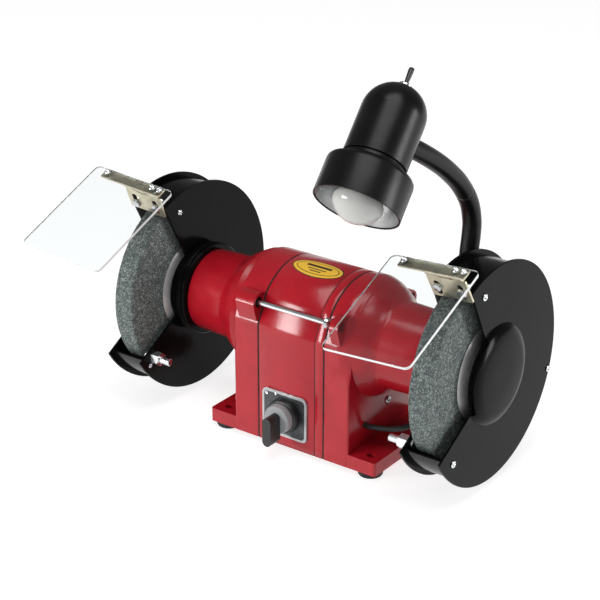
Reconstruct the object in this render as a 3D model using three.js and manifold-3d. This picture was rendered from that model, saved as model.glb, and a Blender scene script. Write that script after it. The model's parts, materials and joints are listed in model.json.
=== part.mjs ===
// A double-ended bench grinder with a work lamp, in millimetres.
// +X runs along the shaft, -Y is the front where the operator stands, +Z is up.
// The origin is the middle of the base's underside, below the middle of the shaft.

import * as THREE from 'three';
import { mergeVertices } from 'three/addons/utils/BufferGeometryUtils.js';
import Module from 'manifold-3d';

const wasm = await Module();
wasm.setup();

// ---------------------------------------------------------------- driving dimensions

const clearance = 0.3;            // between two pieces that touch
const shaftHeight = 117.4;         // shaft axis above the base's underside

// Grinding wheels and what clamps them.
const wheelRadius = 100;
const wheelWidth = 23.5;
const wheelMiddle = 182.2;        // middle of a wheel along the shaft
const flangeRadius = 51;
const flangeThickness = 4;
const nutAcrossFlats = 24;
const nutLength = 9;
const threadRadius = 7.9;

// Wheel guards.
const guardRadius = 114.3;        // side plates
const guardInnerRoom = 8.65;      // from the wheel to the guard's face on the motor's side
const guardOuterRoom = 13.45;     // from the wheel to the cover's outer face
const guardInnerFace = wheelMiddle - wheelWidth / 2 - guardInnerRoom;
const guardOuterFace = wheelMiddle + wheelWidth / 2 + guardOuterRoom;
const sheet = 2.5;                // side plates
const rimInset = 5;               // the rim band sits this far inside the plates' edge
const rimSheet = 2;
const mouthTop = 63;              // degrees above the front: upper edge of the guard's mouth
const mouthBottom = -30;          // degrees below the front: lower edge of the mouth
const hubRadius = 48.5;           // the disc that the cover keeps across the mouth
const innerHubRadius = 45;
const shaftBore = 22;             // hole in the inner plate that the shaft passes
const domeRadius = 52;            // raised middle of the cover, which the mouth cuts into
const domeHeight = 8;

// Motor body.
const bodyShift = 6.8;            // the pedestal's middle along the shaft
const wallHalf = 71.5;            // pedestal's side walls from the motor's middle
const footHalf = 104.2;           // ends of the foot flanges from the motor's middle
const leftSeam = -33.6;           // joint between left end bell and middle casting
const ringSeam = 37;              // joint between middle casting and spacer ring
const rightSeam = 47.9;           // joint between spacer ring and right end bell
const bodyHalfDepth = 63.5;
const bodyWall = 5;
const creaseAngle = 36.8922;      // above the shaft's level, where the sloping shoulder meets the arch
const archRadius = 64.3;          // arched top, about the shaft
const deckHeight = 51;            // roof of the hollow base
const footThickness = 14.8;
const footHoleFromMiddle = 90.3;
const footHoleDepth = 50;
const footHoleRadius = 4.25;
const rubberRadius = 13;
const rubberHeight = 5.5;
const bellCornerBelow = 12.7;     // the pedestal's square corner ends this far below the shaft
const neckRootRadius = 45;
const neckEndRadius = 43.5;
const neckEnd = 143;              // end of the neck from the middle of the shaft
const neckBore = 35;
const collarRadius = 45;
const collarStep = 50;            // larger step next to the neck

// Motor inside.
const statorMiddle = 5;
const statorRadius = 52;
const statorBore = 30;
const statorLength = 56;
const airGap = 0.5;
const windingLength = 15;         // overhang of the winding at each end
const shaftRadius = 9.5;
const bearingBore = 8.5;
const bearingRadius = 20;
const bearingWidth = 12;
const bearingFromEnd = 12;        // from the neck's end to the bearing

// Tie bolts along the shoulders.
const tieFromArch = 3.9;          // from the arch's face out to the bolts' axes
const tieAngle = { front: 29.24, rear: 17.3 };   // above the level of the shaft, in degrees
const tieRadius = 2.7;
const tieHeadRadius = 5.8;
const tieHeadLength = 6;
const leftLugEnd = -58;
const rightLugEnd = 66;

// Switch on the front.
const switchX = 0.8;
const switchHeight = 36.7;
const switchWidth = 56;
const switchTall = 50;
const switchPlateThickness = 1.6;
const switchBodySize = 26;
const switchBodyDepth = 30;
const bezelRadius = 18.5;
const bezelFront = 72;            // front of the switch's round bezel
const knobRadius = 15.5;
const knobSkirt = 7.7;
const leverWidth = 10.7;
const leverAbove = 8.5;
const leverBelow = 23.3;
const leverDepth = 16;

// Spark arrestors and eye shields.
const arrestorWidth = 44;
const slotsBeyondGuard = 0.7;     // middle of the slots from the guard plates' edge
const arrestorRadius = guardRadius + slotsBeyondGuard;
const arrestorBelow = 11.6;
const arrestorAbove = 13;
const arrestorSheet = 2;
const slotLength = 18;
const slotSpacing = 26;
const boltRadius = 2.4;
const slotClearance = 0.6;
const earTop = 7.5;               // the guard's ear above the bolts
const hingeAbove = 20;            // hinge axis above the bolts
const knuckleRadius = 3.4;
const pinRadius = 1.6;
const pinClearance = 0.35;
const stripLength = 75;
const stripWidth = 12;
const stripSheet = 1.8;
const stripOffset = -10.5;        // middle of the strip from the middle of the guard
const lensWidth = 98;
const lensDepth = 127.5;
const lensThickness = 3;
const lensOffset = -10.1;
const lensCorner = 6;
const lensBehind = 5;             // from the hinge back to the lens's edge
const shieldRoll = { left: -6, right: 5.3 };
const shieldTilt = { left: 22, right: 24.3 };
const arrestorSlide = { left: 2.5, right: 0 };   // how far each arrestor is set outward

// Lamp.
const lampFromGuard = 11.8;       // from the guard's inner face back to the gooseneck
const lampDepth = 35;
const lampAboveShaft = 73.6;
const lampX = guardInnerFace - lampFromGuard;
const lampFootHeight = shaftHeight + lampAboveShaft;
const gooseRadius = 9.6;
const gooseBallGap = 0.7;
const gooseFootRim = 1.6;         // the foot stands out this far from the gooseneck
const bracketSheet = 3;
const rimFront = 159.9;           // the shade's rim, in front of the shaft
const rimAboveFoot = 134.2;
const headTurn = 5.6;
const headTilt = 44.8;
const shadeRadius = 40.7;
const shadeLength = 37.1;
const capBottom = 45.4;
const capRadius = 30;
const capLength = 76.6;
const lampWall = 1.8;
const neckOnCap = 80;             // from the shade's rim up to the gooseneck
const bulbRadius = 23.5;
const bulbProud = 14;             // the bulb's dome in front of the rim
const socketRadius = 15;
const toggleRadius = 2.4;
const toggleLength = 22;

// Lamp lead from the motor body to the foot of the gooseneck.
const leadRadius = 3;

const rimRadius = guardRadius - rimInset;
const bellSeat = clearance / 2;
const radians = THREE.MathUtils.degToRad;

// ---------------------------------------------------------------- colours

const finishes = {
  redEnamel: { color: 0xb3202e, roughness: 0.22, metalness: 0 },
  blackEnamel: { color: 0x17181a, roughness: 0.3, metalness: 0 },
  abrasive: { color: 0x5f6a6b, roughness: 0.95, metalness: 0 },
  steel: { color: 0xc9ccce, roughness: 0.25, metalness: 1 },
  zinc: { color: 0xd6d3c4, roughness: 0.35, metalness: 1 },
  clearPlastic: { color: 0xf2f6f6, roughness: 0.05, metalness: 0 },
  satinBlack: { color: 0x1c1c1e, roughness: 0.4, metalness: 0 },
  rubber: { color: 0x121212, roughness: 0.85, metalness: 0 },
  copper: { color: 0xa8552c, roughness: 0.4, metalness: 1 },
  core: { color: 0x6b6f73, roughness: 0.5, metalness: 1 },
  plastic: { color: 0x202224, roughness: 0.45, metalness: 0 },
  plate: { color: 0xa9abac, roughness: 0.35, metalness: 1 },
  bulbGlass: { color: 0xf4f1ea, roughness: 0.1, metalness: 0 },
};

// ---------------------------------------------------------------- solids from geometry

/** Position and index only, shared vertices merged and flat triangles dropped. */
function tidy(geometry) {
  const bare = geometry.clone();
  bare.deleteAttribute('normal');
  bare.deleteAttribute('uv');
  const merged = mergeVertices(bare, 1e-4);
  const index = merged.index.array;
  const kept = [];
  for (let i = 0; i < index.length; i += 3) {
    const [a, b, c] = [index[i], index[i + 1], index[i + 2]];
    if (a !== b && b !== c && c !== a) kept.push(a, b, c);
  }
  merged.setIndex(kept);
  return merged;
}

function solid(geometry) {
  const merged = tidy(geometry);
  const vertProperties = new Float32Array(merged.attributes.position.array);
  const triVerts = new Uint32Array(merged.index.array);
  return new wasm.Manifold(new wasm.Mesh({ numProp: 3, vertProperties, triVerts }));
}

function geometryOf(body) {
  const mesh = body.getMesh();
  const geometry = new THREE.BufferGeometry();
  geometry.setAttribute('position', new THREE.BufferAttribute(mesh.vertProperties, 3));
  geometry.setIndex(new THREE.BufferAttribute(mesh.triVerts, 1));
  geometry.computeVertexNormals();
  return geometry;
}

/** The first geometry joined with the rest. */
function join(...parts) {
  return geometryOf(parts.map(solid).reduce((whole, next) => whole.add(next)));
}

/** A geometry with each of the cutters taken away. */
function cut(base, ...cutters) {
  return geometryOf(cutters.map(solid).reduce((left, cutter) => left.subtract(cutter), solid(base)));
}

/** The mirror image across the middle of the shaft, faces still pointing out. */
function mirrored(geometry) {
  const copy = tidy(geometry);
  copy.applyMatrix4(new THREE.Matrix4().makeScale(-1, 1, 1));
  const index = Array.from(copy.index.array);
  for (let i = 0; i < index.length; i += 3) {
    [index[i + 1], index[i + 2]] = [index[i + 2], index[i + 1]];
  }
  copy.setIndex(index);
  copy.computeVertexNormals();
  return copy;
}

const alongX = new THREE.Matrix4().set(0, 0, 1, 0, 1, 0, 0, 0, 0, 1, 0, 0, 0, 0, 0, 1);
const alongFront = new THREE.Matrix4().set(1, 0, 0, 0, 0, 0, -1, 0, 0, 1, 0, 0, 0, 0, 0, 1);

function extrude(shape, length, segments = 24) {
  return new THREE.ExtrudeGeometry(shape, { depth: length, bevelEnabled: false, curveSegments: segments });
}

/** A (y, z) outline extruded from one x to another. */
function slabX(shape, fromX, toX, segments = 24) {
  return extrude(shape, toX - fromX, segments).applyMatrix4(alongX).translate(fromX, 0, 0);
}

/** An (x, z) outline extruded towards the front, from one y to a smaller one. */
function slabFront(shape, fromY, toY, segments = 12) {
  return extrude(shape, fromY - toY, segments).applyMatrix4(alongFront).translate(0, fromY, 0);
}

function box(x0, x1, y0, y1, z0, z1) {
  return new THREE.BoxGeometry(x1 - x0, y1 - y0, z1 - z0)
    .translate((x0 + x1) / 2, (y0 + y1) / 2, (z0 + z1) / 2);
}

/** A solid of revolution about the shaft axis; points are [x, radius] and x only grows outside. */
function turned(points, segments = 48) {
  const profile = points.map(([x, radius]) => new THREE.Vector2(radius, x));
  return new THREE.LatheGeometry(profile, segments).rotateZ(-Math.PI / 2).rotateX(Math.PI / 2);
}

/** A turned solid moved onto the shaft axis. */
function onShaft(points, segments = 48) {
  return turned(points, segments).translate(0, 0, shaftHeight);
}

/** A turned ring from x0 to x1 between two radii, on the shaft axis. */
function ring(x0, x1, inner, outer, segments = 48) {
  return onShaft([[x0, inner], [x0, outer], [x1, outer], [x1, inner], [x0, inner]], segments);
}

function rodX(x0, x1, radius, y, z, segments = 24) {
  return turned([[x0, 0], [x0, radius], [x1, radius], [x1, 0]], segments).translate(0, y, z);
}

function rodY(x, y0, y1, radius, z, segments = 32) {
  return new THREE.CylinderGeometry(radius, radius, y1 - y0, segments).translate(x, (y0 + y1) / 2, z);
}

function rodZ(x, y, z0, z1, radius, segments = 24) {
  return new THREE.CylinderGeometry(radius, radius, z1 - z0, segments)
    .rotateX(Math.PI / 2)
    .translate(x, y, (z0 + z1) / 2);
}

function roundedRectangle(width, height, corner, centreX = 0, centreY = 0) {
  const shape = new THREE.Shape();
  const [w, h] = [width / 2 - corner, height / 2 - corner];
  shape.absarc(centreX + w, centreY + h, corner, 0, Math.PI / 2);
  shape.absarc(centreX - w, centreY + h, corner, Math.PI / 2, Math.PI);
  shape.absarc(centreX - w, centreY - h, corner, Math.PI, 1.5 * Math.PI);
  shape.absarc(centreX + w, centreY - h, corner, 1.5 * Math.PI, 2 * Math.PI);
  return shape;
}

// ---------------------------------------------------------------- the assembly

const grinder = new THREE.Group();

function add(name, geometry, finish, parent = grinder) {
  const mesh = new THREE.Mesh(geometry, new THREE.MeshStandardMaterial(finishes[finish]));
  mesh.name = name;
  parent.add(mesh);
  return mesh;
}

/** Adds a piece for the right-hand end and its mirror image for the left. */
function addPair(name, geometry, finish) {
  add(`right_${name}`, geometry, finish);
  add(`left_${name}`, mirrored(geometry), finish);
}

// ---------------------------------------------------------------- motor body

/** Section of the body across the shaft: upright sides, sloping shoulders, arched top. */
function bodyOutline() {
  const start = THREE.MathUtils.degToRad(creaseAngle);
  const shoulderHeight = shaftHeight + Math.sqrt(archRadius ** 2 - bodyHalfDepth ** 2);
  const shape = new THREE.Shape();
  shape.moveTo(-bodyHalfDepth, 0);
  shape.lineTo(bodyHalfDepth, 0);
  shape.lineTo(bodyHalfDepth, shoulderHeight);
  shape.absarc(0, shaftHeight, archRadius, start, Math.PI - start, false);
  shape.lineTo(-bodyHalfDepth, shoulderHeight);
  return shape;
}

const cavityHalfDepth = bodyHalfDepth - bodyWall;

function baseCavity(x0, x1) {
  return box(x0, x1, -cavityHalfDepth, cavityHalfDepth, -1, deckHeight);
}

function castingBore(x0, x1) {
  return onShaft([[x0, 0], [x0, statorRadius + clearance], [x1, statorRadius + clearance], [x1, 0]], 40);
}

function middleHousing() {
  const x0 = leftSeam + bellSeat;
  const x1 = ringSeam - bellSeat;
  const half = switchBodySize / 2 + clearance;
  const switchHole = box(
    switchX - half, switchX + half, -bodyHalfDepth - 1, -cavityHalfDepth + 1,
    switchHeight - half, switchHeight + half);
  const glandHole = rodY(
    glandX, cavityHalfDepth - 1, bodyHalfDepth + 1, glandRadius + clearance, glandHeight, 20);
  return cut(
    slabX(bodyOutline(), x0, x1, 20), castingBore(x0 - 1, x1 + 1), baseCavity(x0 - 1, x1 + 1),
    switchHole, glandHole);
}

/** The short ring between the middle casting and the right end bell. */
function spacerRing() {
  const x0 = ringSeam + bellSeat;
  const x1 = rightSeam - bellSeat;
  return cut(slabX(bodyOutline(), x0, x1, 20), castingBore(x0 - 1, x1 + 1), baseCavity(x0 - 1, x1 + 1));
}

/** Depth and height of a tie bolt's axis: side is -1 for the front bolt and 1 for the rear one. */
function tieAxis(side) {
  const angle = THREE.MathUtils.degToRad(side < 0 ? tieAngle.front : tieAngle.rear);
  const reach = archRadius + tieFromArch;
  return [side * reach * Math.cos(angle), shaftHeight + reach * Math.sin(angle)];
}

/** Cast lugs on both shoulders that the tie bolts pass through. */
function lug(x0, x1, side) {
  const corners = [
    [-14.5, 8.3], [-1.5, 9.3], [6, 5.3], [9, -0.7], [7, -8.7], [3.5, -20.7], [-14.5, -20.7]];
  const [depth, height] = tieAxis(side);
  const shape = new THREE.Shape(corners.map(([y, z]) => new THREE.Vector2(depth + side * y, height + z)));
  return slabX(shape, x0, x1);
}

/** One end bell, drawn for the right-hand end. */
function endBell(seamAt, wall, lugEnd, headRoom, extraCutters) {
  const seam = seamAt + bellSeat;
  const foot = wall + footHalf - wallHalf;
  const bearingAt = neckEnd - bearingFromEnd;
  const shell = archRadius + 0.6;
  const neck = onShaft([
    [seam, 0], [seam, shell], [60, shell], [66, 63.6], [72, 61.6], [78, 58.6], [86, 53.6],
    [90, 50.2], [94, 47.4], [100, neckRootRadius], [neckEnd - 1.5, neckEndRadius],
    [neckEnd, neckEndRadius - 1.5], [neckEnd, 0]], 32);
  const round = geometryOf(solid(neck).intersect(solid(slabX(bodyOutline(), seam, neckEnd + 1, 20))));
  const outside = join(
    round,
    box(seam, wall, -bodyHalfDepth, bodyHalfDepth, 0, shaftHeight - bellCornerBelow),
    box(wall - 1, foot, -bodyHalfDepth, bodyHalfDepth, 0, footThickness),
    lug(seam, lugEnd, -1),
    lug(seam, lugEnd, 1));
  const inside = onShaft([
    [seam - 1, 0], [seam - 1, statorRadius - 1], [wall - bodyWall - 4, statorRadius - 1],
    [wall + bodyWall, neckBore], [bearingAt - bearingWidth - 1, neckBore],
    [bearingAt - bearingWidth, bearingRadius + clearance], [bearingAt, bearingRadius + clearance],
    [bearingAt, shaftRadius + 2], [neckEnd + 1, shaftRadius + 2], [neckEnd + 1, 0]], 24);
  const footMiddle = foot - footHalf + footHoleFromMiddle;
  const holes = [-1, 1].map((side) => rodZ(
    footMiddle, side * footHoleDepth, -1, footThickness + 1, footHoleRadius, 16));
  const boltRoom = [-1, 1].map((side) => rodX(
    seam - 1, seam + headRoom.length, headRoom.radius, ...tieAxis(side), 16));
  return cut(outside, inside, baseCavity(seam - 1, wall - bodyWall), ...holes, ...boltRoom, ...extraCutters);
}

const glandX = (leftSeam + ringSeam) / 2;
const glandRadius = 8;
const glandHeight = 30;
const leadExit = [bodyShift + wallHalf, -34.5, 36.7];

const leadHole = rodX(
  leadExit[0] - bodyWall - 1, leadExit[0] + 1, leadRadius + clearance, leadExit[1], leadExit[2], 16);

add('middle_housing', middleHousing(), 'redEnamel');
add('spacer_ring', spacerRing(), 'redEnamel');
add('right_end_bell', endBell(
  rightSeam, wallHalf + bodyShift, rightLugEnd,
  { length: tieHeadLength + 4, radius: tieHeadRadius + 1.2 }, [leadHole]), 'redEnamel');
add('left_end_bell', mirrored(endBell(
  -leftSeam, wallHalf - bodyShift, -leftLugEnd,
  { length: 14, radius: tieRadius + clearance }, [])), 'redEnamel');

function baseCover() {
  const edge = 0.6;
  const x0 = bodyShift - wallHalf + bodyWall + edge;
  const x1 = bodyShift + wallHalf - bodyWall - edge;
  return box(x0, x1, -cavityHalfDepth + edge, cavityHalfDepth - edge, 0, sheet);
}

add('base_cover', baseCover(), 'zinc');

function rubberFoot(x, y) {
  const profile = [
    [footHoleRadius, -rubberHeight], [rubberRadius - 1.2, -rubberHeight],
    [rubberRadius, -rubberHeight + 1.5], [rubberRadius, 0],
    [footHoleRadius, 0], [footHoleRadius, -rubberHeight]];
  return new THREE.LatheGeometry(profile.map(([r, z]) => new THREE.Vector2(r, z)), 16)
    .rotateX(Math.PI / 2)
    .translate(x, y, -clearance);
}

for (const [xName, xSide] of [['left', -1], ['right', 1]]) {
  for (const [yName, ySide] of [['front', -1], ['rear', 1]]) {
    const x = bodyShift + xSide * footHoleFromMiddle;
    add(`foot_${yName}_${xName}`, rubberFoot(x, ySide * footHoleDepth), 'rubber');
  }
}

/** A long bolt that clamps both end bells to the middle casting, with a domed head on the right. */
function tieBolt(side) {
  const headAt = rightSeam + bellSeat + clearance;
  const end = leftSeam - 12;
  const profile = [
    [end, 0], [end, tieRadius], [headAt, tieRadius], [headAt, tieHeadRadius],
    [headAt + tieHeadLength * 0.5, tieHeadRadius * 0.85], [headAt + tieHeadLength, tieHeadRadius * 0.3],
    [headAt + tieHeadLength, 0]];
  return turned(profile, 16).translate(0, ...tieAxis(side));
}

add('front_tie_bolt', tieBolt(-1), 'steel');
add('rear_tie_bolt', tieBolt(1), 'steel');

// ---------------------------------------------------------------- inside the motor

function stator() {
  const core = statorLength / 2;
  const end = core + windingLength;
  const windingOuter = statorRadius - 4;
  const windingInner = statorBore + 2.5;
  const m = statorMiddle;
  return onShaft([
    [m - end, windingInner], [m - end, windingOuter - 2],
    [m - end + 2, windingOuter], [m - core, windingOuter],
    [m - core, statorRadius], [m + core, statorRadius], [m + core, windingOuter],
    [m + end - 2, windingOuter], [m + end, windingOuter - 2], [m + end, windingInner],
    [m + core, windingInner], [m + core, statorBore], [m - core, statorBore], [m - core, windingInner],
    [m - end, windingInner]], 20);
}

add('stator', stator(), 'copper');

const bearingOuterX = neckEnd - bearingFromEnd - clearance;
addPair('bearing', ring(
  bearingOuterX - bearingWidth + 2 * clearance, bearingOuterX,
  bearingBore + clearance, bearingRadius, 16), 'steel');

const capacitorRadius = 17;
const capacitorLength = 62;
const capacitorDepth = 30;
const capacitorFromMiddle = 26;
add('capacitor', rodX(
  capacitorFromMiddle - capacitorLength / 2, capacitorFromMiddle + capacitorLength / 2,
  capacitorRadius, capacitorDepth - 3, 22, 24), 'plastic');

function mainsGland() {
  const flange = rodY(
    glandX, bodyHalfDepth + clearance, bodyHalfDepth + 5, glandRadius + 3, glandHeight, 20);
  const barrel = rodY(glandX, cavityHalfDepth + 1, bodyHalfDepth + 11, glandRadius, glandHeight, 20);
  const bore = rodY(glandX, cavityHalfDepth, bodyHalfDepth + 12, 4, glandHeight, 16);
  return cut(join(flange, barrel), bore);
}

add('mains_gland', mainsGland(), 'plastic');

// ---------------------------------------------------------------- rotor and wheels

const flangeInnerX = wheelMiddle - wheelWidth / 2 - clearance - flangeThickness;
const wheelInnerX = wheelMiddle - wheelWidth / 2;
const wheelOuterX = wheelMiddle + wheelWidth / 2;
const flangeOuterX = wheelOuterX + clearance + flangeThickness;
const nutX = flangeOuterX + clearance;
const shaftEnd = nutX + nutLength + 2;

function shaft() {
  const seat = neckEnd - bearingFromEnd - bearingWidth - 2;
  const step = flangeInnerX - clearance;
  const half = [[step, threadRadius], [step, bearingBore], [seat, bearingBore], [seat, shaftRadius]];
  const right = half.slice().reverse();
  const left = half.map(([x, r]) => [-x, r]);
  return onShaft([
    [-shaftEnd, 0], [-shaftEnd, threadRadius - 1], [-shaftEnd + 1, threadRadius],
    ...left, ...right,
    [shaftEnd - 1, threadRadius], [shaftEnd, threadRadius - 1], [shaftEnd, 0]], 20);
}

add('shaft', shaft(), 'steel');

add('rotor_core', ring(
  statorMiddle - statorLength / 2, statorMiddle + statorLength / 2,
  shaftRadius + clearance, statorBore - airGap, 28), 'core');

const onThread = threadRadius + clearance;
const chamfer = 1.5;
addPair('wheel', onShaft([
  [wheelInnerX, onThread], [wheelInnerX, wheelRadius - chamfer], [wheelInnerX + chamfer, wheelRadius],
  [wheelOuterX - chamfer, wheelRadius], [wheelOuterX, wheelRadius - chamfer], [wheelOuterX, onThread],
  [wheelInnerX, onThread]], 48), 'abrasive');

/** A dished clamping flange; face is the x that touches the wheel, out is the way it bulges. */
function flange(face, out) {
  const t = flangeThickness;
  const points = [
    [0, onThread], [0, flangeRadius], [1.2, flangeRadius], [t * 0.75, flangeRadius - 7],
    [t, flangeRadius - 18], [t, onThread], [0, onThread]];
  const placed = points.map(([x, r]) => [face + out * x, r]);
  return onShaft(out > 0 ? placed : placed.reverse(), 24);
}

addPair('inner_flange', flange(wheelInnerX - clearance, -1), 'steel');
addPair('outer_flange', flange(wheelOuterX + clearance, 1), 'steel');

function hexNut(x0, x1, acrossFlats, boreRadius, boreSides = 24) {
  const outline = new THREE.Shape();
  for (let i = 0; i < 6; i += 1) {
    const angle = radians(60 * i);
    const corner = acrossFlats / 2 / Math.cos(radians(30));
    const point = [corner * Math.cos(angle), corner * Math.sin(angle)];
    if (i === 0) outline.moveTo(...point);
    else outline.lineTo(...point);
  }
  const bore = new THREE.Path();
  bore.absarc(0, 0, boreRadius, 0, 2 * Math.PI, true);
  outline.holes.push(bore);
  return slabX(outline, x0, x1, boreSides);
}

const wheelNut = hexNut(nutX, nutX + nutLength, nutAcrossFlats, onThread).translate(0, 0, shaftHeight);
addPair('wheel_nut', wheelNut, 'steel');

// ---------------------------------------------------------------- wheel guards

/** Angle of a direction in the (y, z) plane, given degrees above the front. */
const fromFront = (degrees) => radians(180 - degrees);

/** Disc with the mouth cut away down to a hub. */
function mouthDisc(radius, hub) {
  const shape = new THREE.Shape();
  const from = fromFront(mouthBottom);
  const to = fromFront(mouthTop);
  shape.absarc(0, 0, radius, from, to + 2 * Math.PI, false);
  shape.absarc(0, 0, hub, to, from, false);
  return shape;
}

/** Bent strip that joins the plates around the wheel. */
function rimBand() {
  const shape = new THREE.Shape();
  const from = fromFront(mouthBottom);
  const to = fromFront(mouthTop) + 2 * Math.PI;
  shape.absarc(0, 0, rimRadius, from, to, false);
  shape.absarc(0, 0, rimRadius - rimSheet, to, from, true);
  return shape;
}

/** Turns a piece drawn with +Z along the radius so that the radius points at the mouth's top. */
function toMouthTop(geometry) {
  return geometry.rotateX(radians(90 - mouthTop));
}

const arrestorSlots = [-slotSpacing / 2, slotSpacing / 2];
const guardMiddle = (guardInnerFace + guardOuterFace) / 2;

/** The folded ear at the mouth's top that the spark arrestor bolts to. */
function ear() {
  const top = arrestorRadius + earTop;
  const plate = box(
    guardInnerFace + sheet, guardOuterFace - sheet - 2 * clearance,
    0, sheet, rimRadius - rimSheet, top);
  const holes = arrestorSlots.map((offset) => rodY(
    guardMiddle + offset, -1, sheet + 1, boltRadius + clearance, arrestorRadius, 12));
  return toMouthTop(cut(plate, ...holes));
}

const restBolt = { angle: -35.3, radius: 96.8, shank: 4, nut: 13 };

function restBoltPlace() {
  const angle = radians(restBolt.angle);
  return [-restBolt.radius * Math.cos(angle), shaftHeight + restBolt.radius * Math.sin(angle)];
}

function guard() {
  const plate = slabX(mouthDisc(guardRadius, innerHubRadius), guardInnerFace, guardInnerFace + sheet, 28);
  const band = slabX(rimBand(), guardInnerFace + sheet - 0.5, guardOuterFace - sheet - clearance, 28);
  const whole = join(plate, band, ear()).translate(0, 0, shaftHeight);
  const [y, z] = restBoltPlace();
  return cut(
    whole,
    rodX(guardInnerFace - 1, guardInnerFace + sheet + 1, shaftBore, 0, shaftHeight, 28),
    rodX(guardInnerFace - 1, guardInnerFace + sheet + 1, restBolt.shank + clearance, y, z, 16),
    ...lampBracketHoles());
}

function cover() {
  const plate = slabX(mouthDisc(guardRadius, hubRadius), guardOuterFace - sheet, guardOuterFace, 28)
    .translate(0, 0, shaftHeight);
  const f = guardOuterFace;
  const opening = onShaft([
    [f - sheet - 1, 0], [f - sheet - 1, domeRadius - sheet], [f + 1, domeRadius - sheet], [f + 1, 0]], 28);
  const dome = onShaft([
    [f - sheet, domeRadius - sheet - 0.5], [f - sheet, domeRadius],
    [f, domeRadius], [f + 3, domeRadius - 1.5],
    [f + domeHeight - 1.5, domeRadius - 6], [f + domeHeight, domeRadius - 12], [f + domeHeight, 0],
    [f + domeHeight - sheet, 0], [f + domeHeight - sheet, domeRadius - 13],
    [f + domeHeight - 3.5, domeRadius - 8], [f + 1, domeRadius - 4],
    [f - sheet, domeRadius - sheet - 0.5]], 28);
  const mouth = slabX(mouthDisc(guardRadius, hubRadius), f - sheet - 1, f + domeHeight + 1, 28)
    .translate(0, 0, shaftHeight);
  const cutDome = geometryOf(solid(dome).intersect(solid(mouth)));
  return join(cut(plate, opening), cutDome);
}

addPair('cover', cover(), 'blackEnamel');

addPair('neck_collar', onShaft([
  [neckEnd + clearance, 12], [neckEnd + clearance, collarStep], [neckEnd + 10, collarStep],
  [neckEnd + 12, collarRadius], [guardInnerFace - clearance, collarRadius],
  [guardInnerFace - clearance, 12], [neckEnd + clearance, 12]], 28), 'blackEnamel');

/** Bolt that a tool rest would hang on; its head is inside the guard. */
function restBoltBody() {
  const [y, z] = restBoltPlace();
  const inside = guardInnerFace + sheet + clearance;
  const end = guardInnerFace - 23.8;
  const profile = [
    [end, 0], [end, restBolt.shank - 0.7], [end + 0.7, restBolt.shank], [inside, restBolt.shank],
    [inside, restBolt.shank + 3], [inside + 3, restBolt.shank + 3], [inside + 3, 0]];
  return turned(profile, 16).translate(0, y, z);
}

function restNut() {
  const [y, z] = restBoltPlace();
  const x1 = guardInnerFace - clearance;
  const nut = hexNut(x1 - 11, x1, restBolt.nut, restBolt.shank + clearance, 16);
  return nut.rotateX(radians(15)).translate(0, y, z);
}

addPair('rest_bolt', restBoltBody(), 'steel');
addPair('rest_nut', restNut(), 'steel');

// ---------------------------------------------------------------- switch

function switchPlate() {
  const back = -bodyHalfDepth - clearance;
  const outline = roundedRectangle(switchWidth, switchTall, 5, switchX, switchHeight);
  const plate = slabFront(outline, back, back - switchPlateThickness, 4);
  return cut(plate, rodY(switchX, back - 4, back + 2, 9.5, switchHeight, 20));
}

function switchBody() {
  const back = -bodyHalfDepth + 1;
  const half = switchBodySize / 2;
  const block = box(
    switchX - half, switchX + half, back, back + switchBodyDepth, switchHeight - half, switchHeight + half);
  const neck = rodY(switchX, -bezelFront + 1, back + 1, 9, switchHeight, 20);
  const plateFront = -bodyHalfDepth - 2 * clearance - switchPlateThickness;
  return join(block, neck, rodY(switchX, -bezelFront, plateFront, bezelRadius, switchHeight, 32));
}

function knob() {
  const back = -bezelFront - clearance;
  const skirt = rodY(switchX, back - knobSkirt, back, knobRadius, switchHeight, 36);
  const middle = (leverAbove - leverBelow) / 2;
  const outline = roundedRectangle(leverWidth, leverAbove + leverBelow, 3.5, switchX, switchHeight + middle);
  return join(skirt, slabFront(outline, back - knobSkirt + 1, back - knobSkirt - leverDepth, 3));
}

add('switch_plate', switchPlate(), 'plate');
add('switch_body', switchBody(), 'plastic');
add('switch_knob', knob(), 'plastic');

// ---------------------------------------------------------------- spark arrestors and eye shields

/**
 * Everything below is drawn with +Z along the radius, +Y behind the arrestor
 * and x = 0 at the guard's middle.
 */
const arrestorFront = -clearance - arrestorSheet;
const hingeY = -clearance - arrestorSheet / 2;

function arrestorPlate() {
  const half = arrestorWidth / 2;
  const plate = box(-half, half, arrestorFront, -clearance, -arrestorBelow, arrestorAbove + 1);
  const slotHalf = boltRadius + slotClearance;
  const slots = arrestorSlots.map((offset) => slabFront(
    roundedRectangle(2 * slotHalf, slotLength, slotHalf - 0.01, offset, 0), 0, arrestorFront - 1, 4));
  const lip = [-1, 1].map((side) => join(
    rodX(side * 14 - 6, side * 14 + 6, knuckleRadius, hingeY, hingeAbove, 12),
    box(side * 14 - 6, side * 14 + 6, arrestorFront, -clearance, arrestorAbove, hingeAbove)));
  const bore = rodX(-half, half, pinRadius + pinClearance, hingeY, hingeAbove, 10);
  return cut(join(plate, ...lip), ...slots, bore);
}

function arrestorBolt(offset) {
  const profile = [
    [0, sheet + 4.5], [4.5, sheet + 4.5], [4.5, sheet + clearance], [boltRadius, sheet + clearance],
    [boltRadius, arrestorFront - clearance], [5, arrestorFront - clearance], [4.4, arrestorFront - 2.6],
    [0, arrestorFront - 3]];
  return new THREE.LatheGeometry(profile.map(([r, y]) => new THREE.Vector2(r, y)).reverse(), 16)
    .translate(offset, 0, 0);
}

/**
 * Strip with the hinge's middle knuckle. Its own frame has the hinge axis at the
 * origin and the lens towards -Y.
 */
const stripBottom = knuckleRadius + clearance;
const lensBottom = stripBottom + stripSheet + clearance;

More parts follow.
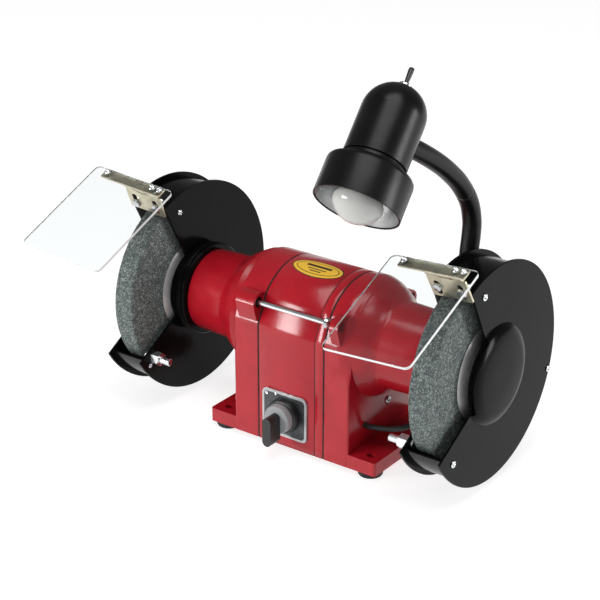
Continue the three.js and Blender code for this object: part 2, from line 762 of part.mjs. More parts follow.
function shieldStrip() {
  const half = stripLength / 2;
  const strip = box(
    stripOffset - half, stripOffset + half, -stripWidth / 2, stripWidth / 2,
    stripBottom, stripBottom + stripSheet);
  const knuckle = rodX(-7.2, 7.2, knuckleRadius, 0, 0, 14);
  const web = box(-7.2, 7.2, -knuckleRadius + 0.4, knuckleRadius - 0.4, 0, stripBottom + 0.5);
  return join(strip, knuckle, web, rodX(-21, 21, pinRadius, 0, 0, 12));
}

function shieldLens() {
  const outline = roundedRectangle(lensWidth, lensDepth, lensCorner, lensOffset, lensBehind - lensDepth / 2);
  return extrude(outline, lensThickness, 5).translate(0, 0, lensBottom);
}

function addShield(side, middle) {
  const roll = new THREE.Group();
  const radial = new THREE.Group();
  roll.position.set(middle, 0, shaftHeight);
  radial.rotation.x = radians(90 - mouthTop);
  const plane = new THREE.Group();
  plane.position.z = arrestorRadius + arrestorSlide[side];
  plane.rotation.y = -radians(shieldRoll[side]);
  grinder.add(roll);
  roll.add(radial);
  radial.add(plane);
  add(`${side}_spark_arrestor`, arrestorPlate(), 'zinc', plane);
  for (const [name, offset] of [['a', arrestorSlots[0]], ['b', arrestorSlots[1]]]) {
    const bolt = new THREE.Group();
    bolt.position.z = arrestorRadius;
    radial.add(bolt);
    add(`${side}_arrestor_bolt_${name}`, arrestorBolt(offset), 'steel', bolt);
  }
  const shield = new THREE.Group();
  shield.position.set(0, hingeY, hingeAbove);
  shield.rotation.x = radians(shieldTilt[side] + mouthTop - 90);
  plane.add(shield);
  add(`${side}_shield_strip`, shieldStrip(), 'zinc', shield);
  add(`${side}_eye_shield`, shieldLens(), 'clearPlastic', shield);
}

addShield('right', guardMiddle);
addShield('left', -guardMiddle);

// ---------------------------------------------------------------- lamp

const bracketScrewRadius = 2.6;
const bracketLeaf = 16;
const bracketHoles = [[lampDepth - 9, lampFootHeight - 9.5], [lampDepth + 9, lampFootHeight - 9.5]];

function lampBracketHoles() {
  return bracketHoles.map(([y, z]) => rodX(
    guardInnerFace - 1, guardInnerFace + sheet + 1, bracketScrewRadius, y, z, 12));
}

/** Folded bracket: an upright leaf on the guard's inner plate and a shelf that the gooseneck stands on. */
function lampBracket() {
  const x1 = guardInnerFace - clearance;
  const top = lampFootHeight - clearance;
  const leaf = box(x1 - bracketSheet, x1, lampDepth - 16, lampDepth + 16, lampFootHeight - bracketLeaf, top);
  const shelf = box(lampX - 14, x1, lampDepth - 16, lampDepth + 16, top - bracketSheet, top);
  const screws = bracketHoles.map(([y, z]) => rodX(
    x1 - bracketSheet - 1, x1 + 1, bracketScrewRadius, y, z, 12));
  const wayIn = rodZ(lampX, lampDepth, top - bracketSheet - 1, top + 1, leadRadius + 1, 20);
  return cut(join(leaf, shelf), ...screws, wayIn);
}

const head = new THREE.Group();
head.position.set(lampX, -rimFront, lampFootHeight + rimAboveFoot);
head.rotation.set(-radians(headTilt), 0, radians(headTurn), 'ZYX');
head.updateMatrixWorld(true);

const onHead = (x, y, z) => new THREE.Vector3(x, y, z).applyMatrix4(head.matrixWorld);

/** The gooseneck's middle line, measured from the middle of its foot, and then its end in the cap. */
const goosePath = [
  [0, 0, 0], [0, 0, 15], [0, 1, 30], [0, 3.6, 46], [0, 3.5, 62], [0, -3.7, 82.5], [-0.5, -21, 105],
  [-1, -43, 124.2], [-2, -66, 140.7], [-4, -93, 157.5],
].map(([x, y, z]) => new THREE.Vector3(lampX + x, lampDepth + y, lampFootHeight + z));
goosePath.push(onHead(0, capRadius - 6, neckOnCap));
const gooseCurve = new THREE.CatmullRomCurve3(goosePath, false, 'centripetal');

/** A stretch of the gooseneck between two fractions of its length. */
function gooseStretch(from, to, steps) {
  const points = [];
  for (let i = 0; i <= steps; i += 1) points.push(gooseCurve.getPointAt(from + (to - from) * (i / steps)));
  const section = new THREE.Shape();
  section.absarc(0, 0, gooseRadius, 0, 2 * Math.PI);
  const path = new THREE.CatmullRomCurve3(points, false, 'centripetal');
  const options = { extrudePath: path, steps, curveSegments: 10, bevelEnabled: false };
  return new THREE.ExtrudeGeometry(section, options);
}

function ball(point, radius, segments = 12) {
  return new THREE.SphereGeometry(radius, segments, 8).translate(point.x, point.y, point.z);
}

const bendFractions = [0.26, 0.62];
const bendPoints = bendFractions.map((fraction) => gooseCurve.getPointAt(fraction));

function gooseLower() {
  const foot = rodZ(lampX, lampDepth, lampFootHeight, lampFootHeight + 10, gooseRadius + gooseFootRim, 20);
  const stretch = gooseStretch(0, bendFractions[0], 6);
  const core = rodZ(lampX, lampDepth, lampFootHeight - 1, lampFootHeight + 6, leadRadius + 1, 16);
  return cut(join(stretch, foot, ball(bendPoints[0], gooseRadius)), core);
}

function gooseMiddle() {
  const stretch = gooseStretch(bendFractions[0], bendFractions[1], 8);
  const socket = ball(bendPoints[0], gooseRadius + gooseBallGap);
  return cut(join(stretch, ball(bendPoints[1], gooseRadius)), socket);
}

/** A solid of revolution about the lamp head's axis; points are [height above the rim, radius]. */
function onHeadAxis(points, segments = 24) {
  const profile = points.map(([height, radius]) => new THREE.Vector2(radius, height));
  return new THREE.LatheGeometry(profile, segments).rotateX(Math.PI / 2);
}

function gooseUpper() {
  const stretch = gooseStretch(bendFractions[1], 1, 7);
  const capCutter = onHeadAxis([
    [0, 0], [0, capRadius + clearance], [capBottom + capLength + 10, capRadius + clearance],
    [capBottom + capLength + 10, 0]], 28);
  capCutter.applyMatrix4(head.matrixWorld);
  return cut(stretch, ball(bendPoints[1], gooseRadius + gooseBallGap), capCutter);
}

const toggleHole = 5;

/** Cap with a domed top, open below, and a small hole at its apex for the toggle. */
function lampCap() {
  const top = capBottom + capLength;
  const dome = capRadius;
  const outer = [];
  const inner = [];
  const steps = 5;
  for (let i = 0; i <= steps; i += 1) {
    const angle = (Math.PI / 2) * (i / steps);
    const inside = capRadius - lampWall;
    outer.push([top - dome + dome * Math.sin(angle), Math.max(capRadius * Math.cos(angle), toggleHole)]);
    inner.push([top - dome + inside * Math.sin(angle), Math.max(inside * Math.cos(angle), toggleHole)]);
  }
  const start = capBottom + clearance;
  return onHeadAxis([
    [start, capRadius - lampWall], [start, capRadius], ...outer, ...inner.reverse(),
    [start, capRadius - lampWall]]);
}

function lampShade() {
  const r = shadeRadius;
  const w = lampWall;
  return onHeadAxis([
    [0, r - w], [0, r], [shadeLength - 4, r], [shadeLength, r - 1.5], [shadeLength + 4.5, r - 6],
    [capBottom, capRadius - 1.5], [capBottom, capRadius - 5], [capBottom - w, capRadius - 5],
    [shadeLength + 4 - w, r - 7 - w], [shadeLength - 4, r - w], [0, r - w]], 28);
}

/** Reflector bulb: domed front, cone behind it, cap in the socket. */
function bulb() {
  const neck = socketRadius - 4;
  return onHeadAxis([
    [-bulbProud, 0], [-bulbProud + 1, 8], [-bulbProud + 4, 15.5],
    [-bulbProud + 9, 21], [-bulbProud + 15, bulbRadius],
    [8, bulbRadius - 1.5], [30, neck + 5], [40, neck], [62, neck], [62, 0]], 24);
}

function lampSocket() {
  const neck = socketRadius - 4 + clearance;
  return onHeadAxis([
    [42, neck], [42, socketRadius], [80, socketRadius], [80, 0], [62 + clearance, 0], [62 + clearance, neck],
    [42, neck]], 28);
}

/** Toggle lever through the cap's apex; it rocks about the middle of its hidden ball. */
function toggleLever() {
  const pivot = capBottom + capLength - 3;
  return onHeadAxis([
    [pivot - 3.2, 0], [pivot - 2.2, 2.4], [pivot, 3.3], [pivot + 2.2, 2.4], [pivot + 3, 1.5],
    [pivot + toggleLength - 4, toggleRadius], [pivot + toggleLength - 1, toggleRadius],
    [pivot + toggleLength, toggleRadius - 1], [pivot + toggleLength, 0]], 16);
}

/** The lead from the pedestal's side, under the neck and up behind the guard's plate. */
const leadPoints = [
  [leadExit[0] - 4, leadExit[1], leadExit[2]], [leadExit[0] + 8, leadExit[1], leadExit[2]],
  [101, -29, 37], [113, -25, 39], [127, -10, 44], [138, 12, 50], [146, 36, 60], [149, 58, 80],
  [150, 68, 103], [150, 69, 126], [150, 64, 148], [150, 51, 167], [lampX, lampDepth + 3, 179],
  [lampX, lampDepth, lampFootHeight - 3],
];

function lampLead() {
  const corners = leadPoints.map((point) => new THREE.Vector3(...point));
  const path = new THREE.CatmullRomCurve3(corners, false, 'centripetal');
  const section = new THREE.Shape();
  section.absarc(0, 0, leadRadius, 0, 2 * Math.PI);
  return new THREE.ExtrudeGeometry(
    section, { extrudePath: path, steps: 24, curveSegments: 8, bevelEnabled: false });
}

addPair('guard', guard(), 'blackEnamel');
add('lamp_bracket', lampBracket(), 'blackEnamel');
add('neck_lower', gooseLower(), 'satinBlack');
add('neck_middle', gooseMiddle(), 'satinBlack');
add('neck_upper', gooseUpper(), 'satinBlack');
add('lamp_lead', lampLead(), 'rubber');
grinder.add(head);
add('lamp_cap', lampCap(), 'satinBlack', head);
add('lamp_shade', lampShade(), 'satinBlack', head);
add('lamp_socket', lampSocket(), 'plastic', head);
add('lamp_bulb', bulb(), 'bulbGlass', head);
add('lamp_toggle', toggleLever(), 'satinBlack', head);

export default grinder;
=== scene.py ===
# %% [markdown]
# # A bench grinder with a work lamp
# The mechanical model gives every piece its place and its motion. This lesson gives the pieces
# their real surfaces: castings with rounded edges, pressed sheet, ground steel, stone and lamp.

import json
import math

import bmesh
import bpy
from mathutils import Matrix, Vector, noise


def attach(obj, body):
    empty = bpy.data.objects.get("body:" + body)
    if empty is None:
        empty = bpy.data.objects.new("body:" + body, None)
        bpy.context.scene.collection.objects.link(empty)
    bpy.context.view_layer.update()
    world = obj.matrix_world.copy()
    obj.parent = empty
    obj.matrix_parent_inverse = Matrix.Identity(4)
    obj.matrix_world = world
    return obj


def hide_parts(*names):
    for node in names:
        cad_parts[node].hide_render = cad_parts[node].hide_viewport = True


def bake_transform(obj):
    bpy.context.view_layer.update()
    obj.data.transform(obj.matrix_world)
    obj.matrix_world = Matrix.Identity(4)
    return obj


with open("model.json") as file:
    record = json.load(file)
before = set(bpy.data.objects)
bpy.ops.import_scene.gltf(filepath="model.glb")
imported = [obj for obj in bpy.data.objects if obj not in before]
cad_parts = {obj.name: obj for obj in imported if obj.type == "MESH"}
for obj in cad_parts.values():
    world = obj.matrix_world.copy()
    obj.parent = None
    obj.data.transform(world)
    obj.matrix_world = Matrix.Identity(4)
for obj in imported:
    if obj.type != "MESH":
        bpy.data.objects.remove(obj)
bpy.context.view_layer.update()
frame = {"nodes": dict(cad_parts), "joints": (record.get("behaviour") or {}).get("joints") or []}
MM = 0.001

# %% [markdown]
# ## Sizes
# The main sizes are the ones a maker would have on the drawing. Each is in millimetres, with
# the origin under the middle of the shaft, X along the shaft and -Y to the front.

# %% Sizes that several pieces share
SHAFT_HEIGHT = 117.4
GUARD_RADIUS = 114.3
GUARD_INNER, GUARD_OUTER = 161.8, 207.4
GUARD_MIDDLE = (GUARD_INNER + GUARD_OUTER) / 2
SHEET = 2.5
RIM_RADIUS = 109.3
MOUTH_TOP, MOUTH_BOTTOM = 63.0, -30.0
HUB_RADIUS = 48.5
BODY_DEPTH = 63.5
ARCH_RADIUS = 64.3
CREASE_HEIGHT = 156.0
LEFT_SEAM, RING_SEAM, RIGHT_SEAM = -33.6, 37.0, 47.9
LEFT_WALL, RIGHT_WALL = -64.7, 78.3
LEFT_FOOT, RIGHT_FOOT = -97.4, 111.0
FOOT_THICKNESS = 14.8
NECK_END = 143.0
print("shaft at", SHAFT_HEIGHT, "mm, guards", 2 * GUARD_RADIUS, "mm across, at", round(GUARD_MIDDLE, 1), "mm")

# %% [markdown]
# ## Materials
# One function turns a hex colour to the linear numbers a shader wants, and one adds a node
# with its settings and its links. Every finish below is made from those two.

# %% Colour and node helpers
def colour(code, alpha=1.0):
    """Linear colour of an sRGB hex value."""
    parts = [int(code[i:i + 2], 16) / 255 for i in (1, 3, 5)]
    linear = [p / 12.92 if p <= 0.04045 else ((p + 0.055) / 1.055) ** 2.4 for p in parts]
    return (*linear, alpha)


def add(material, kind, links=None, **settings):
    """Adds a node. settings name its inputs or properties, links name inputs and their sources."""
    made = material.node_tree.nodes.new("ShaderNode" + kind)
    for name, value in settings.items():
        label = name.replace("_", " ")
        if label in made.inputs:
            made.inputs[label].default_value = value
        else:
            setattr(made, name, value)
    for name, source in (links or {}).items():
        material.node_tree.links.new(source, made.inputs[name])
    return made


def finish(name, shader):
    """A material with its principled shader set, and object coordinates ready to use."""
    material = bpy.data.materials.new(name)
    material.use_nodes = True
    bsdf = material.node_tree.nodes["Principled BSDF"]
    for key, value in shader.items():
        bsdf.inputs[key].default_value = value
    place = add(material, "TexCoord").outputs["Object"]
    return material, bsdf, place


def join(material, source, target):
    """Links an output to an input."""
    material.node_tree.links.new(source, target)


print("mid grey is", round(colour("#808080")[0], 3), "as a linear number")

# %% [markdown]
# ### Gloss enamel on cast metal
# Stove enamel lies over a sand casting, so the surface is glossy but not flat: the casting
# shows as long, faint waves and the paint as a fine orange peel. The eye sees a deep colour
# and a hard highlight. Waves are 12 mm apart on a casting and longer on sheet, the peel about
# 1.5 mm. The guards are gloss black, the lamp satin black.

# %% Red, black and satin paint
PEEL, DIRT = 1.5, 40


def enamel(name, base, deep, roughness, wave, peel_height, ior):
    """Paint: base and deep are its clean and dirty colours, wave and PEEL its relief in mm."""
    material, bsdf, place = finish(name, {"IOR": ior})
    waves = add(material, "TexNoise", {"Vector": place}, Scale=1000 / wave, Detail=2.0)
    peel = add(material, "TexNoise", {"Vector": place}, Scale=1000 / PEEL, Detail=1.0)
    dirt = add(material, "TexNoise", {"Vector": place}, Scale=1000 / DIRT, Detail=5.0, Roughness=0.6)
    tone = add(material, "ValToRGB", {"Fac": dirt.outputs["Fac"]})
    tone.color_ramp.elements[0].position = 0.35
    tone.color_ramp.elements[1].position = 0.65
    tone.color_ramp.elements[0].color = colour(deep)
    tone.color_ramp.elements[1].color = colour(base)
    rough = add(material, "MapRange", {"Value": dirt.outputs["Fac"]}, From_Min=0.3, From_Max=0.7,
                To_Min=roughness * 0.85, To_Max=roughness * 1.25)
    low = add(material, "Bump", {"Height": waves.outputs["Fac"]}, Strength=0.25, Distance=peel_height * 3)
    fine = add(material, "Bump", {"Height": peel.outputs["Fac"], "Normal": low.outputs["Normal"]},
               Strength=0.2, Distance=peel_height)
    join(material, tone.outputs["Color"], bsdf.inputs["Base Color"])
    join(material, rough.outputs["Result"], bsdf.inputs["Roughness"])
    join(material, fine.outputs["Normal"], bsdf.inputs["Normal"])
    return material


red_enamel = enamel("red stove enamel", "#A91623", "#9A121F", 0.2, 12, 0.00022, ior=1.45)
black_enamel = enamel("black gloss enamel", "#0B0B0B", "#070707", 0.16, 18, 0.00016, ior=1.16)
satin_paint = enamel("black satin paint", "#0B0B0B", "#080808", 0.3, 25, 0.0001, ior=1.3)
print("paints:", ", ".join((red_enamel.name, black_enamel.name, satin_paint.name)))

# %% [markdown]
# ### Bonded abrasive
# The wheels are aluminium-oxide grit, about 0.6 mm across, fired in a grey-green ceramic
# bond. The eye sees dark and light grains side by side and no gloss at all. The grains are
# drawn at 1.1 mm, because finer ones wouldn't show at this distance.

# %% Grinding stone
GRAIN, CLUMP = 1.1, 8
stone, bsdf, place = finish("aluminium oxide stone", {"Roughness": 0.93, "IOR": 1.5})
grains = add(stone, "TexVoronoi", {"Vector": place}, Scale=1000 / GRAIN)
clumps = add(stone, "TexNoise", {"Vector": place}, Scale=1000 / CLUMP, Detail=6.0, Roughness=0.7)
speck = add(stone, "ValToRGB", {"Fac": grains.outputs["Color"]})
speck.color_ramp.elements[0].color = colour("#383D3D")
speck.color_ramp.elements[1].color = colour("#AEB4B2")
speck.color_ramp.elements[1].position = 0.95
speck.color_ramp.elements.new(0.6).color = colour("#68706E")
cloud = add(stone, "ValToRGB", {"Fac": clumps.outputs["Fac"]})
cloud.color_ramp.elements[0].position = 0.4
cloud.color_ramp.elements[0].color = colour("#D0D4D3")
cloud.color_ramp.elements[1].position = 0.62
cloud.color_ramp.elements[1].color = colour("#F4F8F7")
mixed = add(stone, "Mix", data_type="RGBA", blend_type="MULTIPLY")
mixed.inputs["Factor"].default_value = 1.0
join(stone, speck.outputs["Color"], mixed.inputs[6])
join(stone, cloud.outputs["Color"], mixed.inputs[7])
grit = add(stone, "Bump", {"Height": grains.outputs["Distance"]}, Strength=0.9, Distance=0.0006)
join(stone, mixed.outputs[2], bsdf.inputs["Base Color"])
join(stone, grit.outputs["Normal"], bsdf.inputs["Normal"])
print("stone: grains", GRAIN, "mm, clumps", CLUMP, "mm")

# %% [markdown]
# ### Bare and plated metal
# Turned steel is bright with faint tool marks, machined flanges are dull and even, zinc plate
# is a soft yellow-grey with cloudy patches, and the switch plate has a fine brushed grain that
# runs one way. The motor's copper and sheet steel are varnished, so they look brown and rough.

# %% Metals
def metal(name, base, dark, roughness, grain, stretch, bump):
    """Bare metal: marks every grain mm, drawn out along an axis whose stretch is small."""
    material, bsdf, place = finish(name, {"Metallic": 1.0})
    drawn = add(material, "Mapping", {"Vector": place}, Scale=stretch)
    lines = add(material, "TexNoise", {"Vector": drawn.outputs["Vector"]}, Scale=1000 / grain, Detail=3.0)
    stains = add(material, "TexNoise", {"Vector": place}, Scale=1000 / 14, Detail=4.0)
    tone = add(material, "ValToRGB", {"Fac": stains.outputs["Fac"]})
    tone.color_ramp.elements[0].position = 0.3
    tone.color_ramp.elements[1].position = 0.65
    tone.color_ramp.elements[0].color = colour(dark)
    tone.color_ramp.elements[1].color = colour(base)
    rough = add(material, "MapRange", {"Value": lines.outputs["Fac"]}, From_Min=0.3, From_Max=0.7,
                To_Min=roughness * 0.7, To_Max=roughness * 1.35)
    relief = add(material, "Bump", {"Height": lines.outputs["Fac"]}, Strength=0.3, Distance=bump)
    join(material, tone.outputs["Color"], bsdf.inputs["Base Color"])
    join(material, rough.outputs["Result"], bsdf.inputs["Roughness"])
    join(material, relief.outputs["Normal"], bsdf.inputs["Normal"])
    return material


EVEN, BRUSHED = (1, 1, 1), (0.02, 1, 1)
turned_steel = metal("turned bright steel", "#E2E4E6", "#C3C6C9", 0.2, 0.5, EVEN, 0.00003)
zinc_plate = metal("yellow zinc plate", "#DAD3BC", "#B6AE96", 0.36, 1.2, EVEN, 0.00004)
brushed_plate = metal("brushed aluminium", "#B9BABB", "#A3A4A5", 0.34, 0.4, BRUSHED, 0.00003)
machined_steel = metal("machined grey steel", "#E4E5E4", "#CFD0CF", 0.62, 0.6, EVEN, 0.00004)
dark_plate = metal("dark anodised plate", "#55585A", "#3A3D3F", 0.3, 0.4, BRUSHED, 0.00003)
laminations = metal("varnished copper and laminations", "#A0552F", "#5C4436", 0.45, 0.8, (20, 1, 1), 0.0002)
print("metals:", ", ".join((turned_steel.name, zinc_plate.name, brushed_plate.name, machined_steel.name)))

# %% [markdown]
# ### Rubber, plastic, clear sheet and glass
# Moulded rubber and ABS have a fine spark-eroded grain. The shields are clear polycarbonate
# with a faint reflection, and their edges are painted light grey as a highlight. The bulb has a
# frosted front, and the inside of the shade is silver.

# %% Rubber, plastics and glass
def moulded(name, base, roughness, grain, height, **shader):
    """A moulded or dipped skin: grain is its texture in mm, wear changes its gloss slowly."""
    material, bsdf, place = finish(name, {"IOR": 1.5, **shader})
    skin = add(material, "TexNoise", {"Vector": place}, Scale=1000 / grain, Detail=3.0)
    wear = add(material, "TexNoise", {"Vector": place}, Scale=1000 / 18, Detail=4.0)
    rough = add(material, "MapRange", {"Value": wear.outputs["Fac"]}, From_Min=0.3, From_Max=0.7,
                To_Min=roughness * 0.8, To_Max=min(1.0, roughness * 1.25))
    relief = add(material, "Bump", {"Height": skin.outputs["Fac"]}, Strength=0.35, Distance=height)
    bsdf.inputs["Base Color"].default_value = colour(base)
    join(material, rough.outputs["Result"], bsdf.inputs["Roughness"])
    join(material, relief.outputs["Normal"], bsdf.inputs["Normal"])
    return material


foot_rubber = moulded("moulded rubber", "#161616", 0.75, 0.8, 0.0001)
black_abs = moulded("black ABS", "#1A1B1C", 0.38, 0.6, 0.00004)
grey_abs = moulded("grey ABS", "#8E9193", 0.4, 0.6, 0.00004)
cable_sheath = moulded("PVC sheath", "#131313", 0.5, 1.0, 0.00003)
clear_sheet = moulded("clear polycarbonate", "#F5F8F8", 0.004, 30.0, 0.000001,
                      **{"Transmission Weight": 1.0, "IOR": 1.3})
# Light grey for the shield edges: a painted highlight, not the sheet's own colour.
sheet_edge_highlight = moulded("painted highlight on sheet edge", "#DDE0E0", 0.25, 3.0, 0.00001)
bulb_glass = moulded("frosted bulb glass", "#B9B9B6", 0.12, 2.0, 0.00003)
silver_lining = metal("silver reflector paint", "#A2A3A2", "#7E7F7F", 0.42, 1.0, EVEN, 0.00003)
# A dark fill that paints the shade in the joint grooves and the bolt pockets.
painted_shade_fill = moulded("dark joint", "#0B0A0A", 0.8, 1.0, 0.00003)
gold_foil = moulded("gold foil label", "#E2B235", 0.35, 1.5, 0.00003)
label_ink = moulded("label ink", "#3A2A10", 0.5, 1.0, 0.00002)
print("materials:", len(bpy.data.materials))

# %% [markdown]
# ## Shapes in mesh code
# Nearly everything on a machine is turned, pressed from sheet or swept along a curve. Three
# functions make those as closed lists of points and faces, and a fourth joins such lists
# into one piece, rounds its edges and fixes it to a body of the mechanical model.

# %% Turned shapes
def turned_shape(points, matrix=Matrix(), steps=96):
    """Turns (distance along Z, radius) points about Z. Radius 0 at an end closes on the axis."""
    closed = points[0][1] > 0
    verts, faces, rings = [], [], []
    for height, radius in points:
        if radius == 0:
            rings.append([len(verts)] * steps)
            verts.append(Vector((0, 0, height)))
            continue
        rings.append(list(range(len(verts), len(verts) + steps)))
        for k in range(steps):
            angle = 2 * math.pi * k / steps
            verts.append(Vector((radius * math.cos(angle), radius * math.sin(angle), height)))
    for i in range(len(rings) if closed else len(rings) - 1):
        a, b = rings[i], rings[(i + 1) % len(rings)]
        for k in range(steps):
            n = (k + 1) % steps
            corners = list(dict.fromkeys((a[k], a[n], b[n], b[k])))
            faces.append(corners)
    return [matrix @ v for v in verts], faces


print("turned ring of 4 points:", len(turned_shape([(0, 1), (0, 2), (1, 2), (1, 1)])[1]), "faces")


# %% Flat shapes
def flat_shape(outer, thickness, matrix=Matrix(), holes=()):
    """A sheet with holes in it: outlines in XY, thickness along Z."""
    mesh = bmesh.new()
    for loop in (outer, *holes):
        corners = [mesh.verts.new((x, y, 0)) for x, y in loop]
        for i, corner in enumerate(corners):
            mesh.edges.new((corner, corners[(i + 1) % len(corners)]))
    bmesh.ops.triangle_fill(mesh, use_beauty=True, edges=mesh.edges[:])
    bmesh.ops.recalc_face_normals(mesh, faces=mesh.faces[:])
    raised = bmesh.ops.extrude_face_region(mesh, geom=mesh.faces[:])["geom"]
    raised_corners = [v for v in raised if isinstance(v, bmesh.types.BMVert)]
    bmesh.ops.translate(mesh, vec=(0, 0, thickness), verts=raised_corners)
    mesh.verts.index_update()
    shape = [matrix @ v.co for v in mesh.verts], [[v.index for v in f.verts] for f in mesh.faces]
    mesh.free()
    return shape


print("unit square sheet:", len(flat_shape([(0, 0), (1, 0), (1, 1), (0, 1)], 1)[0]), "corners")


# %% Swept shapes
def swept_shape(points, radius, steps=24):
    """A round tube along a list of points, with flat ends."""
    points = [Vector(p) for p in points]
    verts, faces = [], []
    side = None
    for i, point in enumerate(points):
        along = (points[min(i + 1, len(points) - 1)] - points[max(i - 1, 0)]).normalized()
        if side is None:
            side = along.orthogonal().normalized()
        side = (side - along * side.dot(along)).normalized()
        up = along.cross(side)
        for k in range(steps):
            angle = 2 * math.pi * k / steps
            verts.append(point + radius * (math.cos(angle) * side + math.sin(angle) * up))
    for i in range(len(points) - 1):
        for k in range(steps):
            n = (k + 1) % steps
            faces.append([i * steps + k, i * steps + n, (i + 1) * steps + n, (i + 1) * steps + k])
    faces.append(list(range(steps))[::-1])
    faces.append([(len(points) - 1) * steps + k for k in range(steps)])
    return verts, faces


def smooth_path(points, count):
    """count points on a smooth curve through the given ones."""
    points = [Vector(p) for p in points]
    points = [2 * points[0] - points[1], *points, 2 * points[-1] - points[-2]]
    path = []
    for k in range(count):
        t = (len(points) - 3) * k / (count - 1)
        i = min(int(t), len(points) - 4)
        t -= i
        a, b, c, d = points[i:i + 4]
        path.append(0.5 * (2 * b + (c - a) * t + (2 * a - 5 * b + 4 * c - d) * t ** 2
                           + (3 * b - a - 3 * c + d) * t ** 3))
    return path


print("tube of 3 rings:", len(swept_shape([(0, 0, 0), (0, 0, 1), (0, 0, 2)], 1)[0]), "points")


# %% One piece from several shapes
def round_edges(thing, width, segments, angle):
    """Rounds every edge sharper than an angle in degrees, width in millimetres."""
    rounding = thing.modifiers.new("rounded edges", "BEVEL")
    rounding.width = width * MM
    rounding.segments = segments
    rounding.limit_method = "ANGLE"
    rounding.angle_limit = math.radians(angle)
    rounding.harden_normals = True


def piece(name, shapes, material, body, replaces=(), edge=0.4):
    """Joins shapes, in millimetres, into one piece with rounded edges, fixed to a body."""
    verts, faces = [], []
    for points, rings in shapes:
        start = len(verts)
        verts += [Vector(p) * MM for p in points]
        faces += [[start + i for i in ring] for ring in rings]
    label = name.replace(" ", "-")
    data = bpy.data.meshes.new(label)
    data.from_pydata(verts, [], faces)
    mesh = bmesh.new()
    mesh.from_mesh(data)
    bmesh.ops.recalc_face_normals(mesh, faces=mesh.faces[:])
    mesh.to_mesh(data)
    mesh.free()
    data.shade_smooth()
    data.materials.append(material)
    made = bpy.data.objects.new(label, data)
    bpy.context.scene.collection.objects.link(made)
    if edge:
        round_edges(made, edge, 3, 32)
    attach(made, body)
    if replaces:
        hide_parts(*replaces)
    return made


print("pieces get their edges rounded by", 0.4, "mm unless another width is given")


# %% Placing shapes
def along_x(x, y=0.0, z=SHAFT_HEIGHT, flip=False):
    """Places a shape drawn along Z so that its axis runs along X from the given point."""
    turn = Matrix.Rotation(math.radians(-90 if flip else 90), 4, "Y")
    return Matrix.Translation((x, y, z)) @ turn


def across(x):
    """Places an outline drawn in (y, z) in the plane x, thickness along X."""
    return Matrix(((0, 0, 1, x), (1, 0, 0, 0), (0, 1, 0, 0), (0, 0, 0, 1)))


def upright(y):
    """Places an outline drawn in (x, z) in the plane y, thickness to the front."""
    return Matrix(((1, 0, 0, 0), (0, 0, -1, y), (0, 1, 0, 0), (0, 0, 0, 1)))


print("the shaft's line is at", tuple(round(v, 1) for v in along_x(0).translation))


# %% Outlines
def arc(centre, radius, start, end, steps):
    """Points of an arc, angles in degrees."""
    angles = [math.radians(start + (end - start) * i / steps) for i in range(steps + 1)]
    return [(centre[0] + radius * math.cos(a), centre[1] + radius * math.sin(a)) for a in angles]


def rounded(width, height, corner, centre=(0, 0), steps=8):
    """Outline of a rectangle with round corners."""
    w, h = width / 2 - corner, height / 2 - corner
    points = []
    for i, (sx, sy) in enumerate(((1, 1), (-1, 1), (-1, -1), (1, -1))):
        points += arc((centre[0] + sx * w, centre[1] + sy * h), corner, 90 * i, 90 * i + 90, steps)
    return points


def circle(centre, radius, steps=32):
    """Outline of a full circle."""
    return arc(centre, radius, 0, 360, steps)[:-1]


print("rounded outline:", len(rounded(20, 10, 2)), "corners, circle:", len(circle((0, 0), 1)))

# %% [markdown]
# ## Motor castings
# The body is a stack of castings clamped by two long bolts: a middle piece, a ring and two
# end bells whose shoulders roll down into round necks. Each is drawn as sections across the
# shaft, from one end to the other, so a change of section along the way gives the soft
# shoulder. The ends step in by about a millimetre for the grooves of the joints, whose shade is painted.

# %% Section across the body
def body_reach(angle):
    """Distance from the shaft to the casting's skin, in a direction given in radians."""
    dy, dz = math.cos(angle), math.sin(angle)
    low = SHAFT_HEIGHT / -dz if dz < -1e-9 else 1e9
    side = BODY_DEPTH / abs(dy) if abs(dy) > 1e-9 else 1e9
    reach = min(low, side)
    if dz > 0:
        # The arch meets the side in a flat chamfer, from the corner up to a crease.
        reach = min(reach, ARCH_RADIUS)
        corner_y, corner_z = BODY_DEPTH, math.sqrt(ARCH_RADIUS ** 2 - BODY_DEPTH ** 2)
        crease_z = CREASE_HEIGHT - SHAFT_HEIGHT
        crease_y = math.sqrt(ARCH_RADIUS ** 2 - crease_z ** 2)
        normal = Vector((crease_z - corner_z, corner_y - crease_y)).normalized()
        distance = normal.x * corner_y + normal.y * corner_z
        towards = normal.x * abs(dy) + normal.y * dz
        if towards > 0:
            reach = min(reach, distance / towards)
    return reach


print("from the shaft to the crown", body_reach(math.pi / 2), "mm, to the front", body_reach(math.pi), "mm")


# %% Shoulder and sections
SHOULDER = ((60, 64.9), (66, 63.6), (72, 61.6), (77, 59.1), (82, 56.3), (86, 53.6), (90, 50.2),
            (94, 47.4), (97, 45.8), (100, 45.0), (NECK_END, 43.5))
TURN_ANGLES = sorted([math.radians(a) for a in range(0, 360, 2)]
                     + [math.atan2(-SHAFT_HEIGHT, BODY_DEPTH) % (2 * math.pi),
                        math.atan2(-SHAFT_HEIGHT, -BODY_DEPTH) % (2 * math.pi)])


def shoulder_radius(distance):
    """Radius of the shoulder at a distance from the body's middle."""
    if distance <= SHOULDER[0][0]:
        return 80.0
    for (x0, r0), (x1, r1) in zip(SHOULDER, SHOULDER[1:]):
        if distance <= x1:
            return r0 + (r1 - r0) * (distance - x0) / (x1 - x0)
    return SHOULDER[-1][1]


